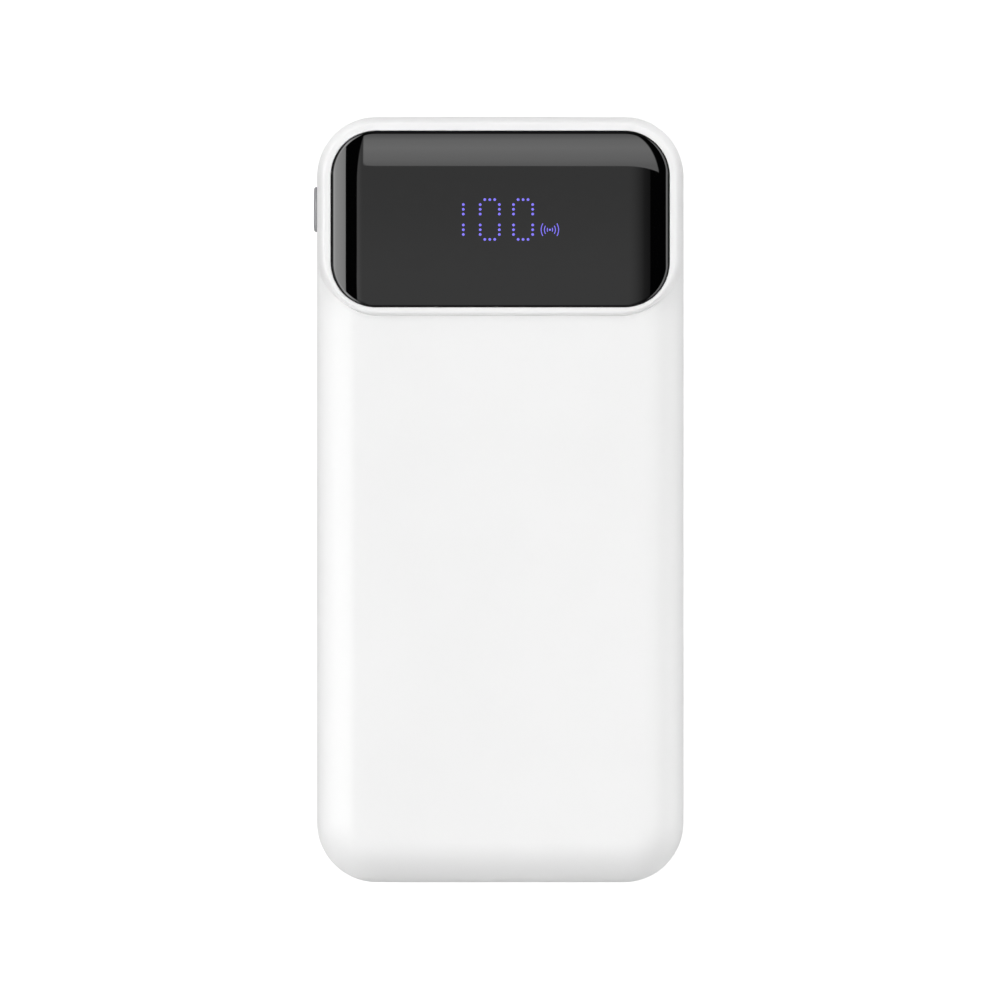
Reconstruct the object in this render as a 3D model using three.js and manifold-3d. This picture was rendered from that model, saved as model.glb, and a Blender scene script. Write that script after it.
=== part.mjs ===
import * as THREE from 'three';
import { mergeVertices } from 'three/addons/utils/BufferGeometryUtils.js';
import Module from 'manifold-3d';

// A wireless power bank lying on its back, in millimetres. +Z points up out of the display face,
// +Y to the end with the sockets and +X to the right. The origin is the centre of the back face.

// ---------------------------------------------------------------- driving dimensions

const BODY = { halfWidth: 34, halfLength: 71, height: 15.6, corner: 11.1 };
const FRONT_EDGE = 7.5;
const BACK_EDGE = 6.5;
const WALL = 1.6;
const SEAM = { z: 7.6, halfGap: 0.1 };
const LIP = { thickness: 0.6, height: 0.9, gap: 0.15 };

// The head is the raised frame round the window. Its side is a tall quarter ellipse.
const HEAD = { bottom: 33.37, rise: 0.6, lowCorner: 11.8, inset: 1.5, cavityTop: 12.8, thicker: 0.2 };
const HEAD_TOP = BODY.height + HEAD.rise;
const HEAD_SPRING = BODY.height - FRONT_EDGE;

// The window lies in a pocket of the head, on an adhesive ring on a ledge.
const WINDOW = { halfWidth: 31.4, bottom: 35.6, top: 68.3, corner: 8.4 };
const WINDOW_HEIGHT = { base: 14.7, crown: 16.8, edgeInset: 5, edgeDrop: 0.7 };
const LEDGE = { z: 14.4, width: 2, gap: 0.2 };
const ADHESIVE = { setIn: 0.1, clear: 0.2 };

// Sockets sit on the main board with their mouths just inside the end wall.
const BOARD = {
  halfWidth: 30.8, bottom: 35.5, top: 67.8, lowCorner: 1.5, topCorner: 7.4, z: 3.5, thickness: 1.2,
};
const BOARD_TOP = BOARD.z + BOARD.thickness;
const MOUTH_Y = 70.4;
const CUTOUT_GAP = 0.2;
const SMALL_GAP = 0.05;
const INSULATOR = { gap: 0.1, setIn: 0.2, root: 0.5 };
const RISER = { least: 0.5, inset: 0.3, length: 3.5 };
const SOCKETS = [
  { name: 'usb_a_left', kind: 'a', x: -17.6 },
  { name: 'usb_a_right', kind: 'a', x: 17.6 },
  { name: 'usb_c', kind: 'c', x: -5 },
  { name: 'micro_usb', kind: 'micro', x: 5 },
];
const SOCKET_KINDS = {
  a: {
    width: 13.1, height: 5.7, corner: 0.6, chamfer: 0, wall: 0.3, depth: 14, block: 3,
    tongue: { width: 11.1, low: 0.2, high: 2.04, setBack: 0.9 },
  },
  c: {
    width: 8.94, height: 3.26, corner: 1.6, chamfer: 0, wall: 0.25, depth: 7.3, block: 1.8,
    tongue: { width: 6.7, low: -0.35, high: 0.35, setBack: 0.6 },
  },
  micro: {
    width: 7.5, height: 2.45, corner: 0, chamfer: 0.95, wall: 0.25, depth: 5.6, block: 1.5,
    tongue: { width: 5.1, low: 0, high: 0.5, setBack: 0.6 },
  },
};

// The side button presses a side-push switch on the main board.
const BUTTON = { y: 53.8, length: 8.4, height: 3.2, proud: 0.6, edge: 0.4, holeGap: 0.2 };
const FLANGE = { outerX: -32, thickness: 0.7, length: 10.4, height: 4.4 };
const STEM = { tipX: -29.6, length: 3, height: 2, corner: 0.3 };
const SWITCH = { x0: -28.9, x1: -25.4, width: 6, height: 5.7, bore: 0.95, boreDepth: 1.9 };
const PLUNGER = { x0: -29.5, length: 1.4, radius: 0.8 };

const SCREWS = [[-27.5, 38.5], [27.5, 38.5], [-28.2, 62], [28.2, 62]];
const SCREW = {
  shank: 0.9, point: 0.6, head: 1.8, headHeight: 0.9, bevel: 0.35, tipZ: 1.3, recess: 0.5, recessDepth: 0.4,
};
const BOSS = { radius: 2.3, bore: 1, floor: 0.9, sunk: 0.3 };
const BOARD_HOLE = 1.15;

// Parts that stand on the main board, each placed by its middle.
const INDUCTOR = { half: 3.5, corner: 1, height: 4, places: [[-19, 42], [19, 42]] };
const CAPACITOR = { radius: 3.15, height: 5.2, places: [[26.3, 46.4], [26.3, 53.4]] };
const CHIP_CORNER = 0.2;
const CHIPS = [
  { name: 'power_controller_chip', width: 6, length: 6, height: 0.9, x: -7, y: 50.5 },
  { name: 'wireless_driver_chip', width: 7, length: 7, height: 0.9, x: 7, y: 50.5 },
  { name: 'power_mosfet_1', width: 5, length: 6, height: 1, x: -17, y: 51 },
  { name: 'power_mosfet_2', width: 5, length: 6, height: 1, x: 17, y: 51 },
];

// Two pouch cells are stacked over the charging coil and its ferrite sheet.
const CELL = { halfWidth: 29, bottom: -65, top: 31.5, corner: 3.5, thickness: 4.7 };
const CELL_Z = { lower: 3.2, upper: 8.2 };
const TAPE = { inset: 4, thickness: 0.2 };
const FOAM = { inset: 6, z0: 13, z1: 13.85 };
const TAB = { width: 6, thickness: 0.2, x: 8, spread: 0.9 };
const GUARD_BOARD = { halfWidth: 16, y0: 33.6, y1: 34.4, z0: 4.6, z1: 11.6 };
const COIL = { y: -8, outer: 21.5, inner: 10, z0: 1.7, z1: 2.5 };
const FERRITE = { half: 25, z0: 2.55, z1: 3.1, slot: 0.7, slotReach: 3 };
const WIRE = { radius: 0.8, x: 4, fromZ: 8.5, toY: 38.4, startGap: 0.15, endGap: 0.3 };
const LEAD = {
  radius: 0.3, x: 3, toY: 38.6, bend: 1.5, outerGap: 0.3, innerLap: 1, lift: 0.02, endGap: 0.15,
};

// The numeral display is a block on its own small board, joined to the main board by a header.
const DISPLAY = { x0: -11, x1: 13, y0: 47.2, y1: 56, z1: 14.3, corner: 0.8 };
const DISPLAY_BOARD = { halfWidth: 22, y0: 42.5, y1: 56.1, z: 10.2, thickness: 0.8, corner: 1 };
const HEADER = { halfWidth: 6, y0: 43.3, y1: 45.8 };

// Steps along each quarter turn of an outline, and across a soft edge.
const FINE = { curve: 8, edge: 6 };
const INNER = { curve: 7, edge: 4 };
const COARSE = { curve: 4, edge: 2 };
const TINY = { curve: 3, edge: 1 };
const ROUND_SIDES = 16;
const BEND_STEPS = 12;
const FAR = 200;

// Solids that are joined overlap by this much, and a cutter runs past the face that it cuts by this much.
const OVERLAP = 0.2;
const PAST = 1;
const CUT_DEPTH = 5;

const FINISH = {
  whiteShell: { color: 0xf0f0f0, roughness: 0.45, metalness: 0 },
  greyButton: { color: 0x8a8b8e, roughness: 0.4, metalness: 0 },
  blackWindow: { color: 0x060608, roughness: 0.05, metalness: 0 },
  adhesive: { color: 0x1c1c1c, roughness: 0.8, metalness: 0 },
  film: { color: 0x141416, roughness: 0.35, metalness: 0 },
  displayBlock: { color: 0x202024, roughness: 0.5, metalness: 0 },
  board: { color: 0x1d5a34, roughness: 0.45, metalness: 0 },
  steel: { color: 0xb9bcc0, roughness: 0.28, metalness: 1 },
  blackPlastic: { color: 0x161616, roughness: 0.5, metalness: 0 },
  whitePlastic: { color: 0xe6e6e2, roughness: 0.5, metalness: 0 },
  ferrite: { color: 0x2b2b2d, roughness: 0.7, metalness: 0 },
  copper: { color: 0xb5683a, roughness: 0.35, metalness: 1 },
  pouch: { color: 0xc4c7cb, roughness: 0.35, metalness: 1 },
  tape: { color: 0xd8b24a, roughness: 0.6, metalness: 0 },
  foam: { color: 0x303030, roughness: 0.95, metalness: 0 },
  nickel: { color: 0xc9c5b8, roughness: 0.3, metalness: 1 },
  redWire: { color: 0xb01c1c, roughness: 0.5, metalness: 0 },
  blackWire: { color: 0x151515, roughness: 0.5, metalness: 0 },
};

// ---------------------------------------------------------------- solids

const wasm = await Module();
wasm.setup();

function solid(geometry) {
  const bare = geometry.clone();
  bare.deleteAttribute('normal');
  bare.deleteAttribute('uv');
  const merged = mergeVertices(bare, 1e-4);
  return new wasm.Manifold(new wasm.Mesh({
    numProp: 3,
    vertProperties: merged.attributes.position.array,
    triVerts: new Uint32Array(merged.index.array),
  }));
}

function geometryOf(manifold) {
  const mesh = manifold.getMesh();
  const geometry = new THREE.BufferGeometry();
  geometry.setAttribute('position', new THREE.BufferAttribute(mesh.vertProperties, 3));
  geometry.setIndex(new THREE.BufferAttribute(mesh.triVerts, 1));
  geometry.computeVertexNormals();
  return geometry;
}

function roundedRect(x0, x1, y0, y1, lowCorner, highCorner = lowCorner) {
  const quarter = Math.PI / 2;
  const shape = new THREE.Shape();
  shape.moveTo(x0 + lowCorner, y0);
  shape.absarc(x1 - lowCorner, y0 + lowCorner, lowCorner, -quarter, 0, false);
  shape.absarc(x1 - highCorner, y1 - highCorner, highCorner, 0, quarter, false);
  shape.absarc(x0 + highCorner, y1 - highCorner, highCorner, quarter, 2 * quarter, false);
  shape.absarc(x0 + lowCorner, y0 + lowCorner, lowCorner, 2 * quarter, 3 * quarter, false);
  return shape;
}

function disc(radius, x = 0, y = 0) {
  return new THREE.Shape().absarc(x, y, radius, 0, 2 * Math.PI, false);
}

/** A straight-sided slab over an outline, from z0 up to z1. */
function slab(outline, z0, z1, curveSegments = FINE.curve) {
  const options = { depth: z1 - z0, bevelEnabled: false, curveSegments };
  return new THREE.ExtrudeGeometry(outline, options).translate(0, 0, z0);
}

/** A bar along Y, from y0 to y1, whose outline is drawn in X and Z. */
function barAlongY(outline, y0, y1) {
  return slab(outline, 0, y1 - y0, COARSE.curve).rotateX(Math.PI / 2).translate(0, y1, 0);
}

// Turns X, Y and Z into Y, Z and X.
const UP_TO_X = new THREE.Matrix4().set(0, 0, 1, 0, 1, 0, 0, 0, 0, 1, 0, 0, 0, 0, 0, 1);

/** A bar along X, from x0 to x1, whose outline is drawn in Y and Z. */
function barAlongX(outline, x0, x1, curveSegments = COARSE.curve) {
  return slab(outline, x0, x1, curveSegments).applyMatrix4(UP_TO_X);
}

function block(x0, x1, y0, y1, z0, z1) {
  const box = new THREE.BoxGeometry(x1 - x0, y1 - y0, z1 - z0);
  return box.translate((x0 + x1) / 2, (y0 + y1) / 2, (z0 + z1) / 2);
}

/** A slab from zCut to zEnd whose edge at zEnd is a quarter ellipse, inset wide and drop deep. */
function softSlab(outline, zCut, zEnd, inset, drop, steps = FINE) {
  const depth = Math.abs(zEnd - zCut);
  const geometry = new THREE.ExtrudeGeometry(outline, {
    depth,
    bevelSize: inset,
    bevelOffset: -inset,
    bevelThickness: drop,
    bevelSegments: steps.edge,
    curveSegments: steps.curve,
  });
  geometry.translate(0, 0, zEnd > zCut ? zEnd - drop - depth : zEnd + drop);
  const keep = block(-FAR, FAR, -FAR, FAR, Math.min(zCut, zEnd), Math.max(zCut, zEnd));
  return solid(geometry).intersect(solid(keep));
}

/** A round wire along a curve. */
function wire(curve, radius, steps) {
  const options = { steps, extrudePath: curve, curveSegments: COARSE.curve };
  return new THREE.ExtrudeGeometry(disc(radius), options);
}

// ---------------------------------------------------------------- scene

const powerBank = new THREE.Group();

function group() {
  const part = new THREE.Group();
  powerBank.add(part);
  return part;
}

function put(parent, name, geometry, finish, position = [0, 0, 0]) {
  const mesh = new THREE.Mesh(geometry, new THREE.MeshStandardMaterial(finish));
  mesh.name = name;
  mesh.position.set(...position);
  parent.add(mesh);
}

// ---------------------------------------------------------------- casing

function bodyOutline(inset) {
  const { halfWidth, halfLength, corner } = BODY;
  const x = halfWidth - inset;
  const y = halfLength - inset;
  return roundedRect(-x, x, -y, y, corner - inset);
}

function headOutline(inset) {
  const x = BODY.halfWidth - inset;
  const top = BODY.halfLength - inset;
  return roundedRect(-x, x, HEAD.bottom + inset, top, HEAD.lowCorner - inset, BODY.corner - inset);
}

function windowOutline(grow) {
  const x = WINDOW.halfWidth + grow;
  return roundedRect(-x, x, WINDOW.bottom - grow, WINDOW.top + grow, WINDOW.corner + grow);
}

function socketOutline(kind, grow) {
  const x = kind.width / 2 + grow;
  const z = kind.height / 2 + grow;
  if (kind.corner > 0) return roundedRect(-x, x, -z, z, kind.corner + grow);
  const corners = [
    [-x, z], [-x, -z + kind.chamfer], [-x + kind.chamfer, -z],
    [x - kind.chamfer, -z], [x, -z + kind.chamfer], [x, z],
  ];
  return new THREE.Shape(corners.map(([px, pz]) => new THREE.Vector2(px, pz)));
}

function stadium(length, height) {
  return roundedRect(-length / 2, length / 2, -height / 2, height / 2, height / 2);
}

/** The openings in the side wall: one for each socket and one for the button. */
function wallCutters() {
  const { holeGap, length, height, y } = BUTTON;
  const hole = barAlongX(
    stadium(length + 2 * holeGap, height + 2 * holeGap), -BODY.halfWidth - PAST, -BODY.halfWidth + CUT_DEPTH,
  );
  const cutters = [solid(hole.translate(0, y, SEAM.z))];
  for (const socket of SOCKETS) {
    const outline = socketOutline(SOCKET_KINDS[socket.kind], CUTOUT_GAP);
    const cutter = barAlongY(outline, BODY.halfLength - CUT_DEPTH, BODY.halfLength + PAST);
    cutters.push(solid(cutter.translate(socket.x, 0, SEAM.z)));
  }
  return cutters;
}

function makeFrontShell() {
  const foot = SEAM.z + SEAM.halfGap;
  const main = softSlab(bodyOutline(0), foot, BODY.height, FRONT_EDGE, FRONT_EDGE);
  const head = softSlab(headOutline(0), foot, HEAD_TOP, HEAD.inset, HEAD_TOP - HEAD_SPRING);
  const below = foot - PAST;
  const innerEdge = FRONT_EDGE - WALL;
  const ceiling = BODY.height - WALL;
  const cavity = softSlab(bodyOutline(WALL), below, ceiling, innerEdge, innerEdge, INNER);
  const headCavity = solid(slab(headOutline(WALL + HEAD.thicker), below, HEAD.cavityTop));
  const rebate = solid(slab(bodyOutline(WALL - LIP.thickness - LIP.gap), below, foot + LIP.height));
  const ledge = solid(slab(headOutline(WALL), HEAD.cavityTop, LEDGE.z));
  const pocket = solid(slab(windowOutline(LEDGE.gap), LEDGE.z, HEAD_TOP + PAST));
  const ledgeHole = solid(slab(windowOutline(-LEDGE.width), HEAD.cavityTop - PAST, HEAD_TOP + PAST));
  let shell = main.add(head).subtract(cavity).subtract(headCavity).subtract(rebate);
  shell = shell.add(ledge).subtract(pocket).subtract(ledgeHole);
  for (const cutter of wallCutters()) shell = shell.subtract(cutter);
  return geometryOf(shell);
}

function makeBackShell() {
  const rim = SEAM.z - SEAM.halfGap;
  const innerEdge = BACK_EDGE - WALL;
  const lipTop = rim + LIP.height;
  let shell = softSlab(bodyOutline(0), rim, 0, BACK_EDGE, BACK_EDGE);
  shell = shell.add(solid(slab(bodyOutline(WALL - LIP.thickness), rim - PAST, lipTop)));
  const cavity = softSlab(bodyOutline(WALL), lipTop + PAST, WALL, innerEdge, innerEdge, INNER);
  shell = shell.subtract(cavity);
  for (const [x, y] of SCREWS) {
    const post = slab(disc(BOSS.radius, x, y), WALL - BOSS.sunk, BOARD.z - SMALL_GAP, COARSE.curve);
    const bore = slab(disc(BOSS.bore, x, y), BOSS.floor, BOARD.z + PAST, COARSE.curve);
    shell = shell.add(solid(post)).subtract(solid(bore));
  }
  for (const cutter of wallCutters()) shell = shell.subtract(cutter);
  return geometryOf(shell);
}

function addCasing() {
  const casing = group();
  put(casing, 'front_shell', makeFrontShell(), FINISH.whiteShell);
  put(casing, 'back_shell', makeBackShell(), FINISH.whiteShell);
}

// ---------------------------------------------------------------- window and display

function addWindow() {
  const front = group();
  const { base, crown, edgeInset, edgeDrop } = WINDOW_HEIGHT;
  const glass = softSlab(windowOutline(0), base, crown, edgeInset, edgeDrop);
  put(front, 'display_window', geometryOf(glass), FINISH.blackWindow);

  const ring = windowOutline(-ADHESIVE.setIn);
  ring.holes.push(windowOutline(ADHESIVE.clear - LEDGE.width));
  const layer = [LEDGE.z + SMALL_GAP, base - SMALL_GAP];
  put(front, 'window_adhesive', slab(ring, ...layer, INNER.curve), FINISH.adhesive);
  put(front, 'light_mask_film', slab(windowOutline(-LEDGE.width), ...layer), FINISH.film);
}

function addDisplay() {
  const display = group();
  const { halfWidth, y0, y1, z, thickness, corner } = DISPLAY_BOARD;
  const boardTop = z + thickness;
  const board = slab(roundedRect(-halfWidth, halfWidth, y0, y1, corner), z, boardTop, TINY.curve);
  put(display, 'display_board', board, FINISH.board);

  const lens = roundedRect(DISPLAY.x0, DISPLAY.x1, DISPLAY.y0, DISPLAY.y1, DISPLAY.corner);
  const lamps = slab(lens, boardTop + SMALL_GAP, DISPLAY.z1, TINY.curve);
  put(display, 'led_display_block', lamps, FINISH.displayBlock);

  const strip = block(
    -HEADER.halfWidth, HEADER.halfWidth, HEADER.y0, HEADER.y1, BOARD_TOP + SMALL_GAP, z - SMALL_GAP,
  );
  put(display, 'display_header', strip, FINISH.blackPlastic);
}

// ---------------------------------------------------------------- sockets

/** A socket in its own frame: its mouth faces +Y at the origin, and it runs back along -Y. */
function addSocket({ name, kind: kindName, x }) {
  const kind = SOCKET_KINDS[kindName];
  const { wall, depth, tongue } = kind;
  const place = [x, MOUTH_Y, SEAM.z];
  const parent = group();

  const tube = socketOutline(kind, 0);
  tube.holes.push(socketOutline(kind, -wall));
  put(parent, `${name}_shell`, barAlongY(tube, -depth, 0), FINISH.steel, place);

  const clearance = wall + INSULATOR.gap;
  const blockFront = kind.block - depth;
  const back = solid(barAlongY(socketOutline(kind, -clearance), INSULATOR.setIn - depth, blockFront));
  const halfTongue = tongue.width / 2;
  const blade = block(
    -halfTongue, halfTongue, blockFront - INSULATOR.root, -tongue.setBack, tongue.low, tongue.high,
  );
  const insulator = geometryOf(back.add(solid(blade)));
  const finish = kindName === 'a' ? FINISH.whitePlastic : FINISH.blackPlastic;
  put(parent, `${name}_insulator`, insulator, finish, place);

  const underside = SEAM.z - kind.height / 2;
  if (underside - BOARD_TOP > RISER.least) {
    const half = kind.width / 2 - kind.chamfer - RISER.inset;
    const tall = underside - BOARD_TOP - 2 * SMALL_GAP;
    const riser = block(-half, half, -depth, RISER.length - depth, 0, tall);
    const seat = [x, MOUTH_Y, BOARD_TOP + SMALL_GAP];
    put(parent, `${name}_riser`, riser, FINISH.blackPlastic, seat);
  }
}

// ---------------------------------------------------------------- button and switch

function addButton() {
  const parent = group();
  const { length, height, proud, edge, y } = BUTTON;
  const outerX = -BODY.halfWidth - proud;
  const flangeIn = FLANGE.outerX + FLANGE.thickness;

  // The cap is drawn as a soft-edged slab facing down, then turned to face -X.
  const outline = stadium(length, height);
  const cap = geometryOf(softSlab(outline, FLANGE.outerX + OVERLAP, outerX, edge, edge, COARSE));
  const flange = barAlongX(stadium(FLANGE.length, FLANGE.height), FLANGE.outerX, flangeIn);
  const stem = barAlongX(
    roundedRect(-STEM.length / 2, STEM.length / 2, -STEM.height / 2, STEM.height / 2, STEM.corner),
    flangeIn - OVERLAP, STEM.tipX, TINY.curve,
  );
  const button = solid(cap.applyMatrix4(UP_TO_X)).add(solid(flange)).add(solid(stem));
  put(parent, 'power_button', geometryOf(button), FINISH.greyButton, [0, y, SEAM.z]);

  const { x0, x1, width, height: tall, bore, boreDepth } = SWITCH;
  const foot = BOARD_TOP + SMALL_GAP - SEAM.z;
  const housing = solid(block(x0, x1, -width / 2, width / 2, foot, foot + tall));
  const hole = solid(barAlongX(disc(bore), x0 - PAST, x0 + boreDepth));
  put(parent, 'switch_housing', geometryOf(housing.subtract(hole)), FINISH.blackPlastic, [0, y, SEAM.z]);

  const plunger = barAlongX(disc(PLUNGER.radius), 0, PLUNGER.length, INNER.curve);
  put(parent, 'switch_plunger', plunger, FINISH.whitePlastic, [PLUNGER.x0, y, SEAM.z]);
}

// ---------------------------------------------------------------- main board

function addMainBoard() {
  const parent = group();
  const { halfWidth, bottom, top, lowCorner, topCorner, z } = BOARD;
  const outline = roundedRect(-halfWidth, halfWidth, bottom, top, lowCorner, topCorner);
  outline.holes.push(...SCREWS.map(([x, y]) => disc(BOARD_HOLE, x, y)));
  put(parent, 'main_board', slab(outline, z, BOARD_TOP, COARSE.curve), FINISH.board);

  const seat = BOARD_TOP + SMALL_GAP;
  const { half, corner } = INDUCTOR;
  INDUCTOR.places.forEach(([x, y], index) => {
    const coilCase = slab(roundedRect(-half, half, -half, half, corner), 0, INDUCTOR.height, TINY.curve);
    put(parent, `power_inductor_${index + 1}`, coilCase, FINISH.ferrite, [x, y, seat]);
  });
  const { radius, height } = CAPACITOR;
  CAPACITOR.places.forEach(([x, y], index) => {
    const can = new THREE.CylinderGeometry(radius, radius, height, ROUND_SIDES).rotateX(Math.PI / 2);
    can.translate(0, 0, height / 2);
    put(parent, `bulk_capacitor_${index + 1}`, can, FINISH.steel, [x, y, seat]);
  });
  for (const chip of CHIPS) {
    const [across, along] = [chip.width / 2, chip.length / 2];
    const chipOutline = roundedRect(-across, across, -along, along, CHIP_CORNER);
    put(parent, chip.name, slab(chipOutline, 0, chip.height, 1), FINISH.blackPlastic, [chip.x, chip.y, seat]);
  }
}

function addScrews() {
  const parent = group();
  const { shank, point, head, headHeight, bevel, tipZ, recess, recessDepth } = SCREW;
  const seat = SMALL_GAP;
  const length = BOARD_TOP - tipZ;
  const profile = [
    [0, -length], [shank - bevel, -length], [shank, point - length], [shank, seat], [head, seat],
    [head, headHeight - bevel], [head - bevel, headHeight], [recess, headHeight],
    [recess, headHeight - recessDepth], [0, headHeight - recessDepth],
  ];
  const points = profile.map(([r, z]) => new THREE.Vector2(r, z));
  const screw = new THREE.LatheGeometry(points, ROUND_SIDES).rotateX(Math.PI / 2);
  SCREWS.forEach(([x, y], index) => {
    put(parent, `board_screw_${index + 1}`, screw.clone(), FINISH.steel, [x, y, BOARD_TOP]);
  });
}

// ---------------------------------------------------------------- battery

function addBattery() {
  const parent = group();
  const outline = (inset) => roundedRect(
    -CELL.halfWidth + inset, CELL.halfWidth - inset, CELL.bottom + inset, CELL.top - inset, CELL.corner,
  );
  const cell = slab(outline(0), 0, CELL.thickness, COARSE.curve);
  put(parent, 'battery_cell_lower', cell, FINISH.pouch, [0, 0, CELL_Z.lower]);
  put(parent, 'battery_cell_upper', cell.clone(), FINISH.pouch, [0, 0, CELL_Z.upper]);

  const tapeZ = CELL_Z.lower + CELL.thickness + SMALL_GAP;
  put(parent, 'cell_tape', slab(outline(TAPE.inset), tapeZ, tapeZ + TAPE.thickness, TINY.curve), FINISH.tape);
  put(parent, 'cell_foam_pad', slab(outline(FOAM.inset), FOAM.z0, FOAM.z1, TINY.curve), FINISH.foam);

  const tabs = [
    ['cell_tab_lower_left', CELL_Z.lower, -TAB.x],
    ['cell_tab_lower_right', CELL_Z.lower, TAB.x],
    ['cell_tab_upper_left', CELL_Z.upper, -TAB.x - TAB.spread],
    ['cell_tab_upper_right', CELL_Z.upper, TAB.x + TAB.spread],
  ];
  const reach = GUARD_BOARD.y0 - CELL.top - 2 * SMALL_GAP;
  for (const [name, z, x] of tabs) {
    const strip = block(-TAB.width / 2, TAB.width / 2, 0, reach, 0, TAB.thickness);
    put(parent, name, strip, FINISH.nickel, [x, CELL.top + SMALL_GAP, z + CELL.thickness / 2]);
  }

  const { halfWidth, y0, y1, z0, z1 } = GUARD_BOARD;
  put(parent, 'protection_board', block(-halfWidth, halfWidth, y0, y1, z0, z1), FINISH.board);

  for (const [name, side, finish] of [
    ['battery_wire_red', 1, FINISH.redWire],
    ['battery_wire_black', -1, FINISH.blackWire],
  ]) {
    const x = side * WIRE.x;
    const start = new THREE.Vector3(x, y1 + WIRE.startGap, WIRE.fromZ);
    const end = new THREE.Vector3(x, WIRE.toY, BOARD_TOP + WIRE.endGap);
    const bend = new THREE.Vector3(x, WIRE.toY, WIRE.fromZ);
    const curve = new THREE.QuadraticBezierCurve3(start, bend, end);
    put(parent, name, wire(curve, WIRE.radius, BEND_STEPS), finish);
  }
}

// ---------------------------------------------------------------- wireless charging coil

function addChargingCoil() {
  const parent = group();
  const { y, outer, inner, z0, z1 } = COIL;
  const section = [[inner, z0], [outer, z0], [outer, z1], [inner, z1], [inner, z0]];
  const points = section.map(([r, z]) => new THREE.Vector2(r, z));
  const coil = new THREE.LatheGeometry(points, 2 * ROUND_SIDES).rotateX(Math.PI / 2);
  put(parent, 'charging_coil', coil, FINISH.copper, [0, y, 0]);

  // A slot in the sheet lets the inner lead out over the turns.
  const { half, slot } = FERRITE;
  const slotX = -LEAD.x;
  const slotFoot = y + inner - FERRITE.slotReach;
  const sheet = new THREE.Shape();
  sheet.moveTo(-half, y - half);
  sheet.lineTo(half, y - half);
  sheet.lineTo(half, y + half);
  sheet.lineTo(slotX + slot, y + half);
  sheet.lineTo(slotX + slot, slotFoot);
  sheet.lineTo(slotX - slot, slotFoot);
  sheet.lineTo(slotX - slot, y + half);
  sheet.lineTo(-half, y + half);
  put(parent, 'ferrite_sheet', slab(sheet, FERRITE.z0, FERRITE.z1), FINISH.ferrite);

  const top = BOARD.z - LEAD.endGap;
  const outerLeadZ = (z0 + z1) / 2;
  const innerLeadZ = FERRITE.z0 + LEAD.radius + LEAD.lift;
  for (const [name, x, fromY, z] of [
    ['coil_lead_outer', LEAD.x, y + outer + LEAD.outerGap, outerLeadZ],
    ['coil_lead_inner', slotX, y + inner - LEAD.innerLap, innerLeadZ],
  ]) {
    const route = new THREE.CurvePath();
    const turn = LEAD.toY - LEAD.bend;
    const from = new THREE.Vector3(x, fromY, z);
    const corner = new THREE.Vector3(x, turn, z);
    const end = new THREE.Vector3(x, LEAD.toY, top);
    const bend = new THREE.Vector3(x, LEAD.toY, z);
    route.add(new THREE.LineCurve3(from, corner));
    route.add(new THREE.QuadraticBezierCurve3(corner, bend, end));
    put(parent, name, wire(route, LEAD.radius, BEND_STEPS), FINISH.copper);
  }
}

addCasing();
addWindow();
addDisplay();
SOCKETS.forEach(addSocket);
addButton();
addMainBoard();
addScrews();
addBattery();
addChargingCoil();

export default powerBank;
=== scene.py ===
import math

import bpy
import numpy as np
from mathutils.geometry import delaunay_2d_cdt
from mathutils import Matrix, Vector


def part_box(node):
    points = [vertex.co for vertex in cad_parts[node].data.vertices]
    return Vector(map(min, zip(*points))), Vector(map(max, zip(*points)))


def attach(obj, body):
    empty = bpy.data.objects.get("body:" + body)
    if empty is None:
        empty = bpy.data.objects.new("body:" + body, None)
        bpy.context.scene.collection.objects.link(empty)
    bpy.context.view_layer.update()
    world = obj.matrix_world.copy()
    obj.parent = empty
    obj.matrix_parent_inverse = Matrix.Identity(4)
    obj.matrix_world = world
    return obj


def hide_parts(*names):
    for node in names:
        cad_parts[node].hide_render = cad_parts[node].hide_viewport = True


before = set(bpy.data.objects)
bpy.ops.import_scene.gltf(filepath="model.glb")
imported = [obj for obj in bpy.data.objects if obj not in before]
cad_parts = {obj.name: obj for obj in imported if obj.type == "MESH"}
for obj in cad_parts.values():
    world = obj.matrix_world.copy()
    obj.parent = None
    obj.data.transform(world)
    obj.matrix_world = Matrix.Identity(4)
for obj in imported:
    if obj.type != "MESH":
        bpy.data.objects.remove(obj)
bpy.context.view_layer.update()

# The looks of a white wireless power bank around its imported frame. It lies on its back: +Z out of the
# display face, +Y to the socket end. Lengths are in millimetres until a mesh is made.

MM = 0.001


def box_mm(node):
    low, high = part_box(node)
    return np.array(low) / MM, np.array(high) / MM


# ---------------------------------------------------------------- driving dimensions

FRONT_LOW, FRONT_HIGH = box_mm("front_shell")
WINDOW_LOW, WINDOW_HIGH = box_mm("display_window")
BOARD_LOW, BOARD_HIGH = box_mm("main_board")

HALF_WIDTH = FRONT_HIGH[0]
HALF_LENGTH = FRONT_HIGH[1]
HEAD_TOP = FRONT_HIGH[2]
FACE_Z = HEAD_TOP - 0.6
FRONT_FOOT = FRONT_LOW[2]
BACK_RIM = FRONT_FOOT - 0.2
SEAM_Z = (FRONT_FOOT + BACK_RIM) / 2
CORNER = 11.1
FRONT_EDGE = 7.5
BACK_EDGE = 6.5
SPRING_Z = FACE_Z - FRONT_EDGE
WALL = 1.6
HEAD_BOTTOM = 33.37
HEAD_CORNER = 11.8
HEAD_INSET = 1.5
HEAD_CAVITY_Z = 12.8
LEDGE_Z = 14.4
LEDGE_WIDTH = 2.0
WINDOW_CORNER = 8.4
WINDOW_TRIM = 0.1
WINDOW_GAP = 0.12
LIP = 0.6
LIP_HEIGHT = 0.9
LIP_GAP = 0.15
SOFT_SEAM = 0.12
SOFT_RIM = 0.15
SOFT_MOUTH = 0.35
PAST = 1.0

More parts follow.
